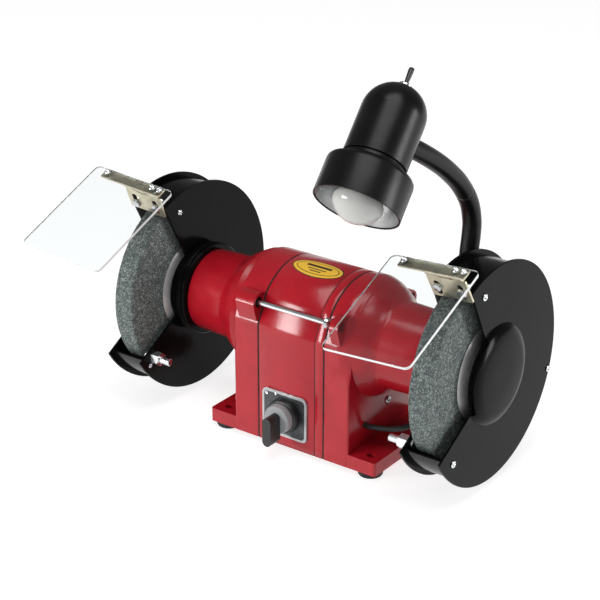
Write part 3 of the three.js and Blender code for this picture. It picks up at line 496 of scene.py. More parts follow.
def section(x, inset, shoulder):
    """Points of the casting's skin at x, drawn in by inset."""
    points = []
    for angle in TURN_ANGLES:
        reach = body_reach(angle)
        if shoulder:
            height = reach * math.sin(angle) + SHAFT_HEIGHT
            share = min(max((height - 88) / 26, 0), 1)
            share = share * share * (3 - 2 * share)
            round_reach = min(reach, shoulder_radius(abs(x)))
            reach += (round_reach - reach) * share
        reach -= inset / max(abs(math.cos(angle)), abs(math.sin(angle)))
        points.append(Vector((x, reach * math.cos(angle), SHAFT_HEIGHT + reach * math.sin(angle))))
    return points


def casting(x0, x1, ease0=1.0, ease1=1.0, shoulder=False):
    """A closed casting from x0 to x1 with its end edges rounded."""
    stations = [(x0, ease0), (x0 + 0.25 * ease0, ease0 * 0.5), (x0 + ease0, 0)]
    if shoulder:
        inner, outer = sorted((x0 + ease0, x1 - ease1))
        stations += [(inner + (outer - inner) * i / 14, 0) for i in range(1, 14)]
    stations += [(x1 - ease1, 0), (x1 - 0.25 * ease1, ease1 * 0.5), (x1, ease1)]
    verts, faces = [], []
    count = len(TURN_ANGLES)
    for x, inset in stations:
        verts += section(x, inset, shoulder)
    for i in range(len(stations) - 1):
        for k in range(count):
            n = (k + 1) % count
            faces.append([i * count + k, i * count + n, (i + 1) * count + n, (i + 1) * count + k])
    faces.append(list(range(count)))
    faces.append([(len(stations) - 1) * count + k for k in range(count)])
    return verts, faces


print("shoulder at 80 mm:", round(shoulder_radius(80), 1), "mm, directions in a section:", len(TURN_ANGLES))

# %% [markdown]
# ### Feet, lugs and joints
# The feet are plates with a hole near each corner. Lugs on the shoulders take the tie bolts.
# The shade in the grooves between the castings is painted as a dark sheet a little below the skin.

# %% Feet and lugs
def foot_flange(wall, end):
    """The foot: a plate with a hole near each corner."""
    middle = (wall + end) / 2
    width = abs(end - wall) + 6
    outline = rounded(width, 2 * BODY_DEPTH - 0.4, 3.0, (middle - math.copysign(3, end), 0))
    hole_x = end - math.copysign(13.9, end)
    holes = [circle((hole_x, side * 50), 4.25) for side in (-1, 1)]
    return flat_shape(outline, FOOT_THICKNESS, Matrix(), holes)


TIE_AXIS = {-1: (-59.50, 150.71), 1: (65.11, 137.68)}


def tie_lug(x0, x1, side):
    """A cast lump on the shoulder, with a pocket for the tie bolt."""
    y, z = TIE_AXIS[side]
    outline = [(-13.5, 7.8), (-3.5, 9.3), (2.5, 8.3), (7, 4.8), (9.1, 0), (8.1, -5.7), (5.9, -12.7),
               (3.5, -19.7), (-9.5, -19.7)]
    placed = [(y + side * a, z + b) for a, b in outline]
    return flat_shape(placed, x1 - x0, across(x0), [circle((y, z), 5.9)])


print("tie bolts at depth and height", TIE_AXIS[-1], "and", TIE_AXIS[1])


# %% End bells
def end_bell(seam, wall, end, lug_from, lug_to, name):
    """An end casting: shoulder, neck, foot and two lugs, made as one piece."""
    way = math.copysign(1, end)
    neck = [(55, 0), (55, 56)] + [p for p in SHOULDER if 66 < p[0] < NECK_END]
    neck += [(NECK_END - 1.5, 43.5), (NECK_END - 0.4, 43.1), (NECK_END, 42), (NECK_END, 0)]
    x0, x1 = sorted((seam + way * 0.15, wall))
    ease0, ease1 = (1.2, 1.6) if way > 0 else (1.6, 1.2)
    shapes = [
        casting(x0, x1, ease0, ease1, shoulder=True),
        turned_shape(neck, along_x(0, flip=way < 0)),
        foot_flange(wall, end),
        tie_lug(lug_from, lug_to, -1),
        tie_lug(lug_from, lug_to, 1),
    ]
    return piece(name, shapes, red_enamel, "motor_frame", [name.replace(" ", "_")], 0.9)


def joint_shade_sheet(seam):
    """Painted shade: a dark sheet a little below the skin in the groove between two castings."""
    half_width, below = 1.05, 0.28
    verts = section(seam - half_width, below, False) + section(seam + half_width, below, False)
    count = len(TURN_ANGLES)
    faces = [[i, (i + 1) % count, count + (i + 1) % count, count + i] for i in range(count)]
    return verts, faces + [list(range(count)), list(range(count, 2 * count))]


print("neck ends", NECK_END, "mm from the middle; joints at", LEFT_SEAM, RING_SEAM, RIGHT_SEAM)

# %% The castings
piece("middle casting", [casting(LEFT_SEAM + 0.15, RING_SEAM - 0.15, 1.2, 0.7)], red_enamel,
      "motor_frame", ["middle_housing"], 0)
piece("ring casting", [casting(RING_SEAM + 0.15, RIGHT_SEAM - 0.15, 0.7, 1.2)], red_enamel,
      "motor_frame", ["spacer_ring"], 0)
end_bell(RIGHT_SEAM, RIGHT_WALL, RIGHT_FOOT, 57.5, 68, "right end bell")
end_bell(LEFT_SEAM, LEFT_WALL, LEFT_FOOT, -58, -35.5, "left end bell")
# Each joint groove gets a dark sheet that paints its shade.
for seam_name, seam in (("left", LEFT_SEAM), ("ring", RING_SEAM), ("right", RIGHT_SEAM)):
    piece(f"{seam_name} joint", [joint_shade_sheet(seam)], painted_shade_fill, "motor_frame", edge=0)
# A dark disc inside each lug's bolt hole paints the shade of the recess.
for side, (y, z) in TIE_AXIS.items():
    for x in (-38.5, 58.5):
        pocket = turned_shape([(0, 0), (0, 5.8), (1.2, 5.8), (1.2, 0)], along_x(x, y, z), 32)
        where = ("front", "rear")[side > 0] + (" left", " right")[x > 0]
        piece(f"{where} bolt pocket", [pocket], painted_shade_fill, "motor_frame", edge=0)
print("castings, joints and bolt pockets made")

# %% [markdown]
# ## Wheel guards
# Each guard is an inner plate with a rim band, closed by a cover with a pressed dome over the
# wheel nut. A wedge is left open at the front. The plates are flat outlines with a rounded
# edge, and the dome is turned.

# %% Outlines of the guards
AXIS = (0, SHAFT_HEIGHT)
GUARD_START, GUARD_END = 180 - MOUTH_BOTTOM, 180 - MOUTH_TOP + 360


def mouth_outline(radius, hub):
    """A disc, seen along the shaft, with the working mouth cut down to a hub."""
    outline = arc(AXIS, radius, GUARD_START, GUARD_END, 140)
    return outline + arc(AXIS, hub, GUARD_END - 360, GUARD_START, 40)


def band_outline(radius, thickness):
    """The rim band, seen along the shaft."""
    outer = arc(AXIS, radius, GUARD_START, GUARD_END, 140)
    return outer + arc(AXIS, radius - thickness, GUARD_END, GUARD_START, 140)


def guard_ear():
    """The folded flap at the top of the mouth that carries the spark arrestor."""
    outline = rounded(40.0, 17, 2.0, (GUARD_MIDDLE - 0.3, 114.5))
    holes = [circle((GUARD_MIDDLE + offset, 115), 2.7, 20) for offset in (-13, 13)]
    turn = Matrix.Translation((0, 0, SHAFT_HEIGHT)) @ Matrix.Rotation(math.radians(90 - MOUTH_TOP), 4, "X")
    return flat_shape(outline, 2.2, turn @ upright(2.3), holes)


def mirrored(shape):
    """The left-hand copy of a right-hand shape."""
    verts, faces = shape
    return [Vector((-v.x, v.y, v.z)) for v in verts], [face[::-1] for face in faces]


covered = GUARD_END - GUARD_START
print("the guard covers", covered, "degrees and the mouth is", 360 - covered, "degrees wide")

# %% Plates and rim
REST_HOLE = (-79.0, 61.5)
rim_width = GUARD_OUTER - GUARD_INNER - SHEET * 2 + 0.9
inner_plate = flat_shape(mouth_outline(GUARD_RADIUS, 45), SHEET, across(GUARD_INNER),
                         [circle(AXIS, 22, 48), circle(REST_HOLE, 4.3, 20)])
rim = flat_shape(band_outline(RIM_RADIUS, 2), rim_width, across(GUARD_INNER + SHEET - 0.6))
cover_plate = flat_shape(mouth_outline(GUARD_RADIUS, HUB_RADIUS), SHEET, across(GUARD_OUTER - SHEET),
                         [circle(AXIS, 46.5, 72)])
print("rim band", round(rim_width, 1), "mm wide")


# %% Pressed dome
def pressed_dome():
    """The pressed middle of a cover, with its edge cut back where the mouth reaches it."""
    profile = [(-2.0, 46), (-2.4, 51.2), (0, 52.3), (1.4, 51.6), (3.2, 50.0), (5.4, 46.8), (7.2, 42.0),
               (8.0, 36.5), (8.0, 12), (8.0, 0.01), (5.5, 0.01), (5.5, 36), (3.2, 43.6), (0.6, 47.4)]
    verts, faces = turned_shape(profile, along_x(GUARD_OUTER), 240)
    for v in verts:
        y, z = v.y, v.z - SHAFT_HEIGHT
        angle = math.degrees(math.atan2(z, -y))
        reach = math.hypot(y, z)
        if MOUTH_BOTTOM < angle < MOUTH_TOP and reach > HUB_RADIUS:
            v.y, v.z = y * HUB_RADIUS / reach, z * HUB_RADIUS / reach + SHAFT_HEIGHT
            v.x = GUARD_OUTER + 1.0 + (v.x - GUARD_OUTER + 2.4) * 0.57
    return verts, faces


dome = pressed_dome()
print("dome:", len(dome[0]), "points")

# %% Guards, covers and neck rings
RING_PROFILE = ((0.3, 12), (0.3, 48.4), (1.4, 49.7), (4.4, 49.7), (5.0, 48.6), (6.2, 48.6), (6.8, 49.9),
                (9.6, 49.9), (10.6, 48.6), (12, 45))
for side, flip in (("right", False), ("left", True)):
    way = mirrored if flip else (lambda shape: shape)
    piece(side + " guard", [way(inner_plate), way(rim), way(guard_ear())], black_enamel, "motor_frame",
          [side + "_guard"], 0.5)
    piece(side + " guard cover", [way(cover_plate), way(dome)], black_enamel, "motor_frame",
          [side + "_cover"], 0.7)
    ring_profile = [(NECK_END + distance, radius) for distance, radius in RING_PROFILE]
    ring = turned_shape(ring_profile + [(GUARD_INNER - 0.3, 45), (GUARD_INNER - 0.3, 12)], along_x(0))
    piece(side + " neck ring", [way(ring)], black_enamel, "motor_frame", [side + "_neck_collar"], 0.5)
print("guards made")

# %% [markdown]
# ## Wheels and flanges
# A wheel is dressed with a diamond, so its face is flat but every grain stands proud. The
# skin is turned in many small rings and each point is moved by a random fraction of a grain.
# The flanges are turned dishes that only touch the wheel at their edge.

# %% Wheels
WHEEL_MIDDLE, WHEEL_HALF = 182.2, 11.75


def wheel(x_middle, name):
    """A grinding wheel with a dressed, grainy skin outside the flanges."""
    half = WHEEL_HALF
    profile = [(-half, 8.3)] + [(-half, 20 + 78.6 * i / 26) for i in range(27)]
    profile += [(-half + 0.5, 99.5), (-half + 1.4, 100)]
    profile += [(-half + 1.4 + (2 * half - 2.8) * i / 14, 100) for i in range(1, 15)]
    profile += [(half - 0.5, 99.5)] + [(half, 98.6 - 78.6 * i / 26) for i in range(27)] + [(half, 8.3)]
    verts, faces = turned_shape(profile, along_x(x_middle), 300)
    centre = Vector((x_middle, 0, SHAFT_HEIGHT))
    for v in verts:
        spoke = Vector((0, v.y, v.z - SHAFT_HEIGHT))
        if spoke.length > 57:
            bump = noise.noise(v * 0.6) * 0.28 + noise.noise(v * 1.9) * 0.22
            v += bump * (v - centre).normalized() - Vector((math.copysign(0.25, v.x - x_middle), 0, 0))
    return piece(name, [(verts, faces)], stone, "rotor", [name.replace(" ", "_")], 0)


def wheel_flange(face, out, name):
    """A dished clamping flange whose flat back is at face; out is its direction along the shaft."""
    profile = [(0, 8.3), (0, 50.3), (0.4, 51), (0.9, 50.7), (1.7, 48.6), (2.6, 44.8), (3.3, 40.8),
               (3.8, 36.5), (4, 32), (4, 8.3)]
    placed = along_x(face, flip=out < 0)
    return piece(name, [turned_shape(profile, placed)], machined_steel, "rotor",
                 [name.replace(" ", "_")], 0.3)


for side, sign in (("right", 1), ("left", -1)):
    wheel(sign * WHEEL_MIDDLE, side + " wheel")
    wheel_flange(sign * (WHEEL_MIDDLE - WHEEL_HALF - 0.3), -sign, side + " inner flange")
    wheel_flange(sign * (WHEEL_MIDDLE + WHEEL_HALF + 0.3), sign, side + " outer flange")
print("wheels 200 mm by", 2 * WHEEL_HALF, "mm at", WHEEL_MIDDLE, "mm from the middle")

# %% [markdown]
# ## Screws
# A pan-head screw with a cross recess is used in many places. The head is turned in fine
# rings, and the points inside the cross are pushed down, so the recess is real geometry.

# %% A cross-recessed screw
def screw_shape(place, radius, height):
    """Screw head standing on its own XY plane, along +Z."""
    rings = [(0, radius * 0.98), (height * 0.35, radius)]
    rings += [(height * (0.35 + 0.65 * math.sin(a)), radius * math.cos(a) ** 0.8)
              for a in [math.radians(10 * i) for i in range(1, 9)]]
    verts, faces = turned_shape([(0, 0)] + rings + [(height, 0)], Matrix(), 48)
    for v in verts:
        arm = min(abs(v.x), abs(v.y))
        reach = max(abs(v.x), abs(v.y))
        if v.z > height * 0.4 and arm < radius * 0.17 and reach < radius * 0.62:
            v.z -= height * 0.55
    return [place @ v for v in verts], faces


def screw(name, place, radius=4.0, height=2.4, body="motor_frame"):
    """One screw head as a piece of its own."""
    shape = screw_shape(place, radius, height)
    return piece(name, [shape], turned_steel, body, edge=0)


# %% Screws on the guards and the pedestal
COVER_SCREWS = ((-29.6, 209.2), (-75.0, 52.1), (105.4, 82.8))
for side, sign in (("right", 1), ("left", -1)):
    for i, (y, z) in enumerate(COVER_SCREWS):
        place = along_x(sign * GUARD_OUTER, y, z, flip=sign < 0)
        screw(f"{side} cover screw {i + 1}", place, 3.8, 2.2)
    low = along_x(sign * GUARD_INNER, -84.3, 53.3, flip=sign > 0)
    high = along_x(sign * GUARD_INNER, *COVER_SCREWS[0], flip=sign > 0)
    screw(side + " guard plate low screw", low, 2.4, 1.6)
    screw(side + " guard plate high screw", high, 3.2, 2.0)
screw("earth screw", along_x(RIGHT_WALL, 7.1, 48.2), 4.0, 2.4)
print("screws on each guard:", len(COVER_SCREWS) + 2)

# %% [markdown]
# ## Switch
# A pressed plate with a raised border holds a round bezel. In it turns a grey disc with a
# thick black lever, the shape a thumb and finger can turn with gloves on.

# %% Switch plate and its face
SWITCH_X, SWITCH_Z = 0.8, 36.7
plate_back = -BODY_DEPTH - 0.1
plate = flat_shape(rounded(56, 50, 6, (SWITCH_X, SWITCH_Z)), 1.6, upright(plate_back))
border = flat_shape(rounded(55.4, 49.4, 5.7, (SWITCH_X, SWITCH_Z)), 1.0, upright(plate_back - 1.4),
                    [rounded(50.5, 44.5, 3.6, (SWITCH_X, SWITCH_Z))])
piece("switch plate", [plate, border], brushed_plate, "motor_frame", ["switch_plate"], 0.5)
face = flat_shape(rounded(49.5, 43.5, 3.2, (SWITCH_X, SWITCH_Z)), 0.35, upright(plate_back - 1.5))
piece("switch face", [face], dark_plate, "motor_frame", edge=0.1)
print("switch plate 56 by 50 mm, on the front at", round(plate_back, 1), "mm")

# %% Bezel, disc and lever
to_front = Matrix.Rotation(math.radians(90), 4, "X")
front = Matrix.Translation((SWITCH_X, 0, SWITCH_Z)) @ to_front
bezel = turned_shape([(60, 0), (60, 18.5), (69.5, 18.5), (71.4, 17.6), (72, 16.4), (72, 0)], front)
piece("switch bezel", [bezel], black_abs, "motor_frame", ["switch_body"], 0.4)
disc = turned_shape([(72.3, 0), (72.3, 15.5), (78.2, 15.3), (79.6, 14.6), (80, 13.4), (80, 0)], front)
piece("switch disc", [disc], grey_abs, "switch_knob", ["switch_knob"], 0.3)
lever_outline = (arc((SWITCH_X, SWITCH_Z + 3.2), 5.3, 0, 180, 16)
                 + arc((SWITCH_X, SWITCH_Z - 18.0), 5.3, 180, 360, 16))
lever = flat_shape(lever_outline, 16.4, upright(-79.6))
piece("switch lever", [lever], black_abs, "switch_knob", edge=1.2)
for i, (x, z) in enumerate(((-21.5, 56), (-10, 58.2))):
    head = Matrix.Translation((x, plate_back - 1.6, z)) @ to_front
    screw(f"switch screw {i + 1}", head, 1.9, 1.2)
print("switch made, its lever 31.8 mm long")

# %% [markdown]
# ## Spark arrestors and eye shields
# A slotted zinc plate is bolted to each guard's ear and can be moved in as the wheel wears.
# It carries a hinge, and the hinge carries the shield. Both sides are set a few degrees out
# of square, as hand-tightened sheet parts are, so the pieces are drawn straight and turned
# as a group.

# %% Places of the arrestors and shields
ROLL = {"left": -6.0, "right": 5.3}
TILT = {"left": 22.0, "right": 24.3}
SLIDE = {"left": 2.5, "right": 0.0}


def arrestor_place(side):
    """Plane of an arrestor: +Z outward along the radius, +Y behind."""
    middle = GUARD_MIDDLE if side == "right" else -GUARD_MIDDLE
    return (Matrix.Translation((middle, 0, SHAFT_HEIGHT))
            @ Matrix.Rotation(math.radians(90 - MOUTH_TOP), 4, "X")
            @ Matrix.Translation((0, 0, 115 + SLIDE[side]))
            @ Matrix.Rotation(math.radians(-ROLL[side]), 4, "Y"))


def shield_place(side):
    """Frame of a shield: hinge axis along X, shield towards -Y."""
    return (arrestor_place(side) @ Matrix.Translation((0, -1.3, 20))
            @ Matrix.Rotation(math.radians(TILT[side] + MOUTH_TOP - 90), 4, "X"))


def long_hole(x, width, length):
    """Outline of a slot with round ends."""
    r = width / 2
    return arc((x, length / 2 - r), r, 0, 180, 10) + arc((x, -length / 2 + r), r, 180, 360, 10)


print("shields lean", TILT["left"], "and", TILT["right"], "degrees")

# %% Spark arrestor with its two knuckles
ALONG_LOCAL_X = Matrix.Rotation(math.radians(90), 4, "Y")


def spark_arrestor(side):
    """A slotted blade with two knuckles that hold the hinge pin."""
    place = arrestor_place(side)
    blade = flat_shape(rounded(44, 26.4, 1.5, (0, 1.4)), 2.0, place @ upright(-0.3),
                       [long_hole(-13, 6.0, 18), long_hole(13, 6.0, 18)])
    ears = []
    for x in (-14, 14):
        tab = [(x - 6, 13), (x + 6, 13), (x + 6, 20), (x - 6, 20)]
        ears.append(flat_shape(tab, 2.0, place @ upright(-0.3)))
        knuckle = place @ Matrix.Translation((x - 6, -1.3, 20)) @ ALONG_LOCAL_X
        ears.append(turned_shape([(0, 1.95), (0, 3.4), (12, 3.4), (12, 1.95)], knuckle, 32))
    piece(side + " spark arrestor", [blade, *ears], zinc_plate, side + "_arrestor",
          [side + "_spark_arrestor"], 0.35)


print("hinge knuckles 6.8 mm across, pins 3.2 mm")


# %% Hinge strip, eye shield and screws
SHIELD_WIDTH, SHIELD_LENGTH, SHIELD_SHEET = 98, 127.5, 3.0


def eye_shield(side):
    """The strip with its pin, the clear sheet with a painted highlight on its edges, and three screws."""
    tilted = shield_place(side)

    def shifted(x, z):
        return tilted @ Matrix.Translation((x, 0, z))

    strip = flat_shape(rounded(75, 12, 1.2, (-10.5, 0)), 1.8, shifted(0, 3.7))
    web = flat_shape([(-7.2, -3), (7.2, -3), (7.2, 3), (-7.2, 3)], 4.2, shifted(0, 0))
    middle_knuckle = turned_shape([(0, 0), (0, 3.4), (14.4, 3.4), (14.4, 0)],
                                  shifted(-7.2, 0) @ ALONG_LOCAL_X, 32)
    pin = turned_shape([(0, 0), (0, 1.6), (42, 1.6), (42, 0)], shifted(-21, 0) @ ALONG_LOCAL_X, 24)
    piece(side + " shield strip", [strip, web, middle_knuckle, pin], zinc_plate, side + "_shield",
          [side + "_shield_strip"], 0.35)
    outline = rounded(SHIELD_WIDTH, SHIELD_LENGTH, 6, (-10.1, 5 - SHIELD_LENGTH / 2))
    lens = flat_shape(outline, SHIELD_SHEET, shifted(0, 5.8))
    shield = piece(side + " eye shield", [lens], clear_sheet, side + "_shield",
                   [side + "_eye_shield"], 0.5)
    # The sheet's edge faces get a light grey that paints their highlight.
    shield.data.materials.append(sheet_edge_highlight)
    flat = tilted.to_3x3() @ Vector((0, 0, 1))
    for polygon in shield.data.polygons:
        polygon.material_index = int(abs(polygon.normal.dot(flat)) < 0.5)
    for i, x in enumerate((-42.5, 15.5, 24.5)):
        screw(f"{side} shield screw {i + 1}", shifted(x, 8.8), 3.4, 2.2, side + "_shield")


for side in ("right", "left"):
    spark_arrestor(side)
    eye_shield(side)
print("shields", SHIELD_WIDTH, "by", SHIELD_LENGTH, "by", SHIELD_SHEET, "mm")

# %% [markdown]
# ## Work lamp
# The head is two spun shells: a domed cap and a wider shade, painted satin black outside and
# silver inside. A reflector bulb stands a little out of the shade. Each is turned about
# the head's own axis, from a profile of distances and radii.

# %% Lamp cap
LAMP_X, LAMP_Y = 150, 35
head = (Matrix.Translation((LAMP_X, -159.9, 325.2)) @ Matrix.Rotation(math.radians(5.6), 4, "Z")
        @ Matrix.Rotation(math.radians(-44.8), 4, "X"))
cap_top = 45.4 + 76.6
quarter = [math.radians(90 * i / 14) for i in range(15)]
cap_outer = [(cap_top - 30 + 30 * math.sin(a), max(30 * math.cos(a), 5)) for a in quarter]
cap_inner = [(cap_top - 30 + 28.2 * math.sin(a), max(28.2 * math.cos(a), 5)) for a in quarter]
cap = turned_shape([(45.7, 28.2), (45.7, 30)] + cap_outer + cap_inner[::-1], head)
piece("lamp cap", [cap], satin_paint, "lamp_head", ["lamp_cap"], 0.3)
print("the cap's crown is", round(cap_top, 1), "mm above the shade's rim")

# %% Shade and lining
shade = turned_shape([(0, 39.1), (0, 40.7), (33, 40.7), (35.4, 40.2), (37.2, 38.8), (38.6, 36.2),
                      (40.2, 31.4), (41.6, 29.3), (45.4, 28.5), (45.4, 25), (43.6, 25), (38.6, 29),
                      (34.5, 38.4), (33, 39.1)], head)
piece("lamp shade", [shade], satin_paint, "lamp_head", ["lamp_shade"], 0.3)
lining = turned_shape([(1.0, 38.6), (1.0, 39.05), (33, 39.05), (34.5, 38.2), (38.4, 28.9), (38.0, 28.4),
                       (34.0, 37.8), (32.6, 38.6)], head)
piece("shade lining", [lining], silver_lining, "lamp_head", edge=0)
print("shade 81.4 mm across, lined from 1 to 38 mm inside its rim")

# %% Reflector bulb
bulb = turned_shape([(-14, 0), (-13.6, 4.5), (-12.5, 9), (-10.4, 13.6), (-7, 18), (-2.6, 21.6), (1.5, 23.4),
                     (5, 23.5), (9, 22), (18, 17.5), (30, 13), (38, 11.3), (62, 11.2), (62, 0)], head)
piece("reflector bulb", [bulb], bulb_glass, "lamp_head", ["lamp_bulb"], 0)
print("bulb 47 mm across, its front 14 mm out of the shade")

# %% Toggle collar and lever
pivot = cap_top - 3
COLLAR = ((-2.5, 3.9), (-2.5, 6.6), (1.2, 6.6), (2.4, 5.4), (2.4, 3.9))
TOGGLE = ((-3, 0), (-2, 2.2), (0, 3), (2, 2.2), (4, 1.8), (19, 2.7), (21.4, 2.5), (22, 1.6), (22, 0))
collar = turned_shape([(cap_top + height, radius) for height, radius in COLLAR], head, 48)
piece("toggle collar", [collar], turned_steel, "lamp_head", edge=0.2)
toggle = turned_shape([(pivot + height, radius) for height, radius in TOGGLE], head, 48)
piece("lamp toggle", [toggle], black_abs, "lamp_toggle", ["lamp_toggle"], 0)
print("toggle", TOGGLE[-1][0] - 5.4, "mm clear of its collar")

# %% [markdown]
# ### Gooseneck
# The gooseneck is a tube that has to bend. It could be one piece over three bodies, but a piece
# can only blend between two, so the line of points from the foot to the cap is cut in its
# middle stretch. The line of points from the foot to the cap is cut in its middle stretch,
# halfway between the two joints of the mechanical model, into two tubes. Both tubes are fixed
# where they are drawn and follow no body.

# %% Line of the gooseneck
PATH_POINTS = 121
neck_line = [(LAMP_X, LAMP_Y, 192), (LAMP_X, LAMP_Y, 206), (LAMP_X, 36, 221), (LAMP_X, 38.6, 237),
             (LAMP_X, 38.5, 253), (LAMP_X, 31.3, 273.5), (149.5, 14, 296), (149, -8, 315.2),
             (148, -31, 331.7), (146, -58, 348.5)]
neck_line.append(tuple(head @ Vector((0, 27, 80))))
neck_path = smooth_path(neck_line, PATH_POINTS)
print("gooseneck", round(sum((b - a).length for a, b in zip(neck_path, neck_path[1:]))), "mm long")

# %% Gooseneck tubes
joints = {j["name"]: j for j in frame["joints"]}
bends = [Vector(joints[name]["pos_m"]) / MM for name in ("neck_bend_low", "neck_bend_high")]
nearest = [min(range(PATH_POINTS), key=lambda i: (neck_path[i] - bend).length) for bend in bends]
cut = (nearest[0] + nearest[1]) // 2
halves = ((0, cut + 1, "neck_base", "neck_mid", nearest[0]),
          (cut, PATH_POINTS, "neck_mid", "lamp_head", nearest[1]))
for i, (first, last, below, above, at) in enumerate(halves):
    name = ("lower", "upper")[i] + " gooseneck"
    shape = swept_shape(neck_path[first:last], 9.5, 40)
    tube = piece(name, [shape], satin_paint, below, edge=0)
    tube.parent = None
    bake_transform(tube)
    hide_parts(*(("neck_lower",) if i == 0 else ("neck_middle", "neck_upper")))
ferrule = turned_shape([(191, 0), (191, 11.2), (199, 11.2), (201, 10.5), (203, 10.3), (203, 0)],
                       Matrix.Translation((LAMP_X, LAMP_Y, 0)), 48)
piece("gooseneck foot", [ferrule], satin_paint, "neck_base", edge=0.4)
print("the line passes its joints at points", nearest, "and is cut at point", cut)

# %% [markdown]
# ## Badge
# A thin gold label is stuck along the crown of the body. It is a flat oval wrapped round the
# arch, with a plain border and plain bars.

# %% Wrapping an outline round the arch
def wrapped(outline, thickness, lift, angle, x_middle):
    """An outline in (x, arc length) bent round the arch at an angle from the vertical."""
    rows = 24
    verts, faces = [], []
    count = len(outline)
    for height in (lift, lift + thickness):
        verts += [(x, s, height) for x, s in outline]
        for k in range(1, rows):
            verts += [(x * (1 - k / rows), s * (1 - k / rows), height) for x, s in outline]
        verts.append((0, 0, height))
    block = count * rows + 1
    for top in (0, 1):
        for k in range(rows - 1):
            for i in range(count):
                n = (i + 1) % count
                a = top * block + k * count
                faces.append([a + i, a + n, a + count + n, a + count + i])
        last = top * block + (rows - 1) * count
        faces += [[last + i, last + (i + 1) % count, top * block + count * rows] for i in range(count)]
    faces += [[i, (i + 1) % count, block + (i + 1) % count, block + i] for i in range(count)]
    bent = []
    for x, s, height in verts:
        turn = math.radians(angle) + s / ARCH_RADIUS
        reach = ARCH_RADIUS + height
        bent.append(Vector((x_middle + x, -reach * math.sin(turn), SHAFT_HEIGHT + reach * math.cos(turn))))
    return bent, faces


def oval(width, height, steps=72):
    """Outline of an ellipse."""
    return [(width / 2 * math.cos(2 * math.pi * i / steps), height / 2 * math.sin(2 * math.pi * i / steps))
            for i in range(steps)]


print("a degree of the arch is", round(math.radians(1) * ARCH_RADIUS, 2), "mm")

# %% Badge on the arch
BADGE_X, BADGE_ANGLE = 3.4, 10.2


def badge_layer(name, outline, lift, material, move=(0, 0)):
    """One thin layer of the badge, lift mm above the enamel."""
    turn = BADGE_ANGLE + math.degrees(move[1] / ARCH_RADIUS)
    shape = wrapped(outline, 0.12, lift, turn, BADGE_X + move[0])
    return piece(name, [shape], material, "motor_frame", edge=0)


badge_layer("badge border", oval(61, 28), 0.02, label_ink)
badge_layer("badge", oval(58.5, 25.5), 0.14, gold_foil)
badge_layer("badge inner line", oval(51, 19.5), 0.27, label_ink)
badge_layer("badge middle", oval(49.4, 17.9), 0.4, gold_foil)
for i, (length, across_by) in enumerate(((30, -3.0), (22, 2.2), (14, 5.6))):
    bar = rounded(length, 3.4 if i == 0 else 1.3, 0.6, steps=3)
    badge_layer(f"badge bar {i + 1}", bar, 0.53, label_ink, (0, across_by))
print("badge 61 by 28 mm,", BADGE_ANGLE, "degrees to the front of the crown")

# %% [markdown]
# ## Nodes that keep their mechanical shape
# Small turned and bent pieces are already right. They get a finish, a smooth shade and a
# slightly rounded edge, which is what catches the light on real metal.

# %% Finish the remaining nodes
NODE_FINISH = {
    "steel": (turned_steel, ("front_tie_bolt", "rear_tie_bolt", "right_bearing", "left_bearing", "shaft",
                             "right_wheel_nut", "left_wheel_nut", "right_rest_bolt", "left_rest_bolt",
                             "right_rest_nut", "left_rest_nut", "right_arrestor_bolt_a",
                             "right_arrestor_bolt_b", "left_arrestor_bolt_a", "left_arrestor_bolt_b")),
    "windings": (laminations, ("stator", "rotor_core")),
    "plastic": (black_abs, ("capacitor", "mains_gland", "lamp_socket")),
    "rubber": (foot_rubber, ("foot_front_left", "foot_rear_left", "foot_front_right", "foot_rear_right")),
    "sheath": (cable_sheath, ("lamp_lead",)),
    "sheet": (zinc_plate, ("base_cover",)),
    "paint": (black_enamel, ("lamp_bracket",)),
}
for material, names in NODE_FINISH.values():
    for name in names:
        node = frame["nodes"][name]
        node.data.materials.clear()
        node.data.materials.append(material)
        for polygon in node.data.polygons:
            polygon.use_smooth = True
        round_edges(node, 0.25, 2, 35)
print("finished nodes:", sum(len(names) for _, names in NODE_FINISH.values()))

# %% [markdown]
# ## Floor, light and camera
# A plain pale table that is lit from below as well, so shadows stay faint; a large soft light
# above, one low at the front left for the highlight along the shoulder, and a low one behind the
# right side for the streak down the lamp.

# %% Floor
FEET_BOTTOM = -5.85


def studio_plane(name, size, z, code):
    """A square plane of a given size in metres that is lit from below as well."""
    data = bpy.data.meshes.new(name)
    h = size / 2
    data.from_pydata([(-h, -h, z), (h, -h, z), (h, h, z), (-h, h, z)], [], [(0, 1, 2, 3)])
    material, bsdf, _ = finish(name, {"Roughness": 0.6})
    bsdf.inputs["Base Color"].default_value = colour(code)
    bsdf.inputs["Emission Color"].default_value = (1, 1, 1, 1)
    bsdf.inputs["Emission Strength"].default_value = 0.78
    data.materials.append(material)
    made = bpy.data.objects.new(name, data)
    bpy.context.scene.collection.objects.link(made)
    return made


studio_plane("floor", 30, FEET_BOTTOM * MM, "#A8A8A8")
print("floor at", FEET_BOTTOM, "mm")

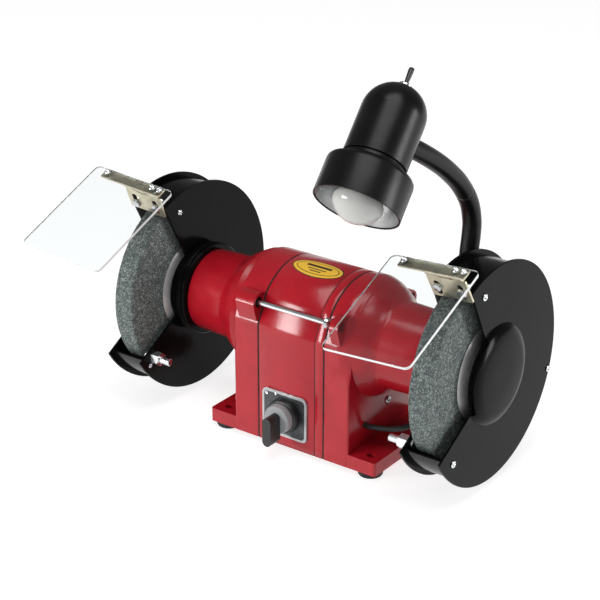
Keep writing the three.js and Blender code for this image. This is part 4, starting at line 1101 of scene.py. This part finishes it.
# %% Lights
def soft_light(name, place, aim, size, watts):
    """A rectangular area light at a place, turned towards its aim, all in metres."""
    data = bpy.data.lights.new(name, "AREA")
    data.shape = "RECTANGLE"
    data.size, data.size_y = size
    data.energy = watts
    made = bpy.data.objects.new(name, data)
    bpy.context.scene.collection.objects.link(made)
    made.location = place
    made.rotation_euler = (Vector(aim) - Vector(place)).to_track_quat("-Z", "Y").to_euler()
    return made


soft_light("overhead", (0.5, -0.5, 2.4), (0, 0, 0.1), (1.6, 1.6), 34)
soft_light("front left", (-1.8, -2.75, 0.95), (0, 0, 0.15), (1.5, 0.8), 74)
soft_light("right", (2.7, 1.2, 0.55), (0.15, -0.1, 0.35), (0.7, 1.5), 48)
world = bpy.data.worlds.new("studio")
world.use_nodes = True
world.node_tree.nodes["Background"].inputs["Color"].default_value = (1, 1, 1, 1)
world.node_tree.nodes["Background"].inputs["Strength"].default_value = 0.22
bpy.context.scene.world = world
bpy.context.scene.view_settings.view_transform = "Standard"
print("lights:", len(bpy.data.lights), "with", sum(light.energy for light in bpy.data.lights), "W in all")

# %% [markdown]
# ### Camera
# A long lens from the front right and above, a little turned about its own line of sight. It
# aims at the middle of the shaft, and the lens is shifted to set the machine in the frame.

# %% Camera
AZIMUTH, ELEVATION, ROLL_ANGLE = 35.49, 24.54, 0.39
DISTANCE = 1.82936
a, e = math.radians(AZIMUTH), math.radians(ELEVATION)
back = Vector((math.sin(a) * math.cos(e), -math.cos(a) * math.cos(e), math.sin(e)))
right = Vector((math.cos(a), math.sin(a), 0))
up = back.cross(right)
c, s = math.cos(math.radians(ROLL_ANGLE)), math.sin(math.radians(ROLL_ANGLE))
rolled_right, rolled_up = c * right + s * up, -s * right + c * up
turn = Matrix((rolled_right, rolled_up, back)).transposed()
camera_data = bpy.data.cameras.new("camera")
camera_data.sensor_width = 36
camera_data.lens = 106.887
camera_data.shift_x, camera_data.shift_y = -0.03615, 0.03572
camera = bpy.data.objects.new("camera", camera_data)
bpy.context.scene.collection.objects.link(camera)
aim = Vector((0, 0, SHAFT_HEIGHT * MM))
camera.matrix_world = Matrix.Translation(aim + DISTANCE * back) @ turn.to_4x4()
bpy.context.scene.camera = camera
print("camera", DISTANCE, "m away,", round(camera_data.lens, 1), "mm lens")
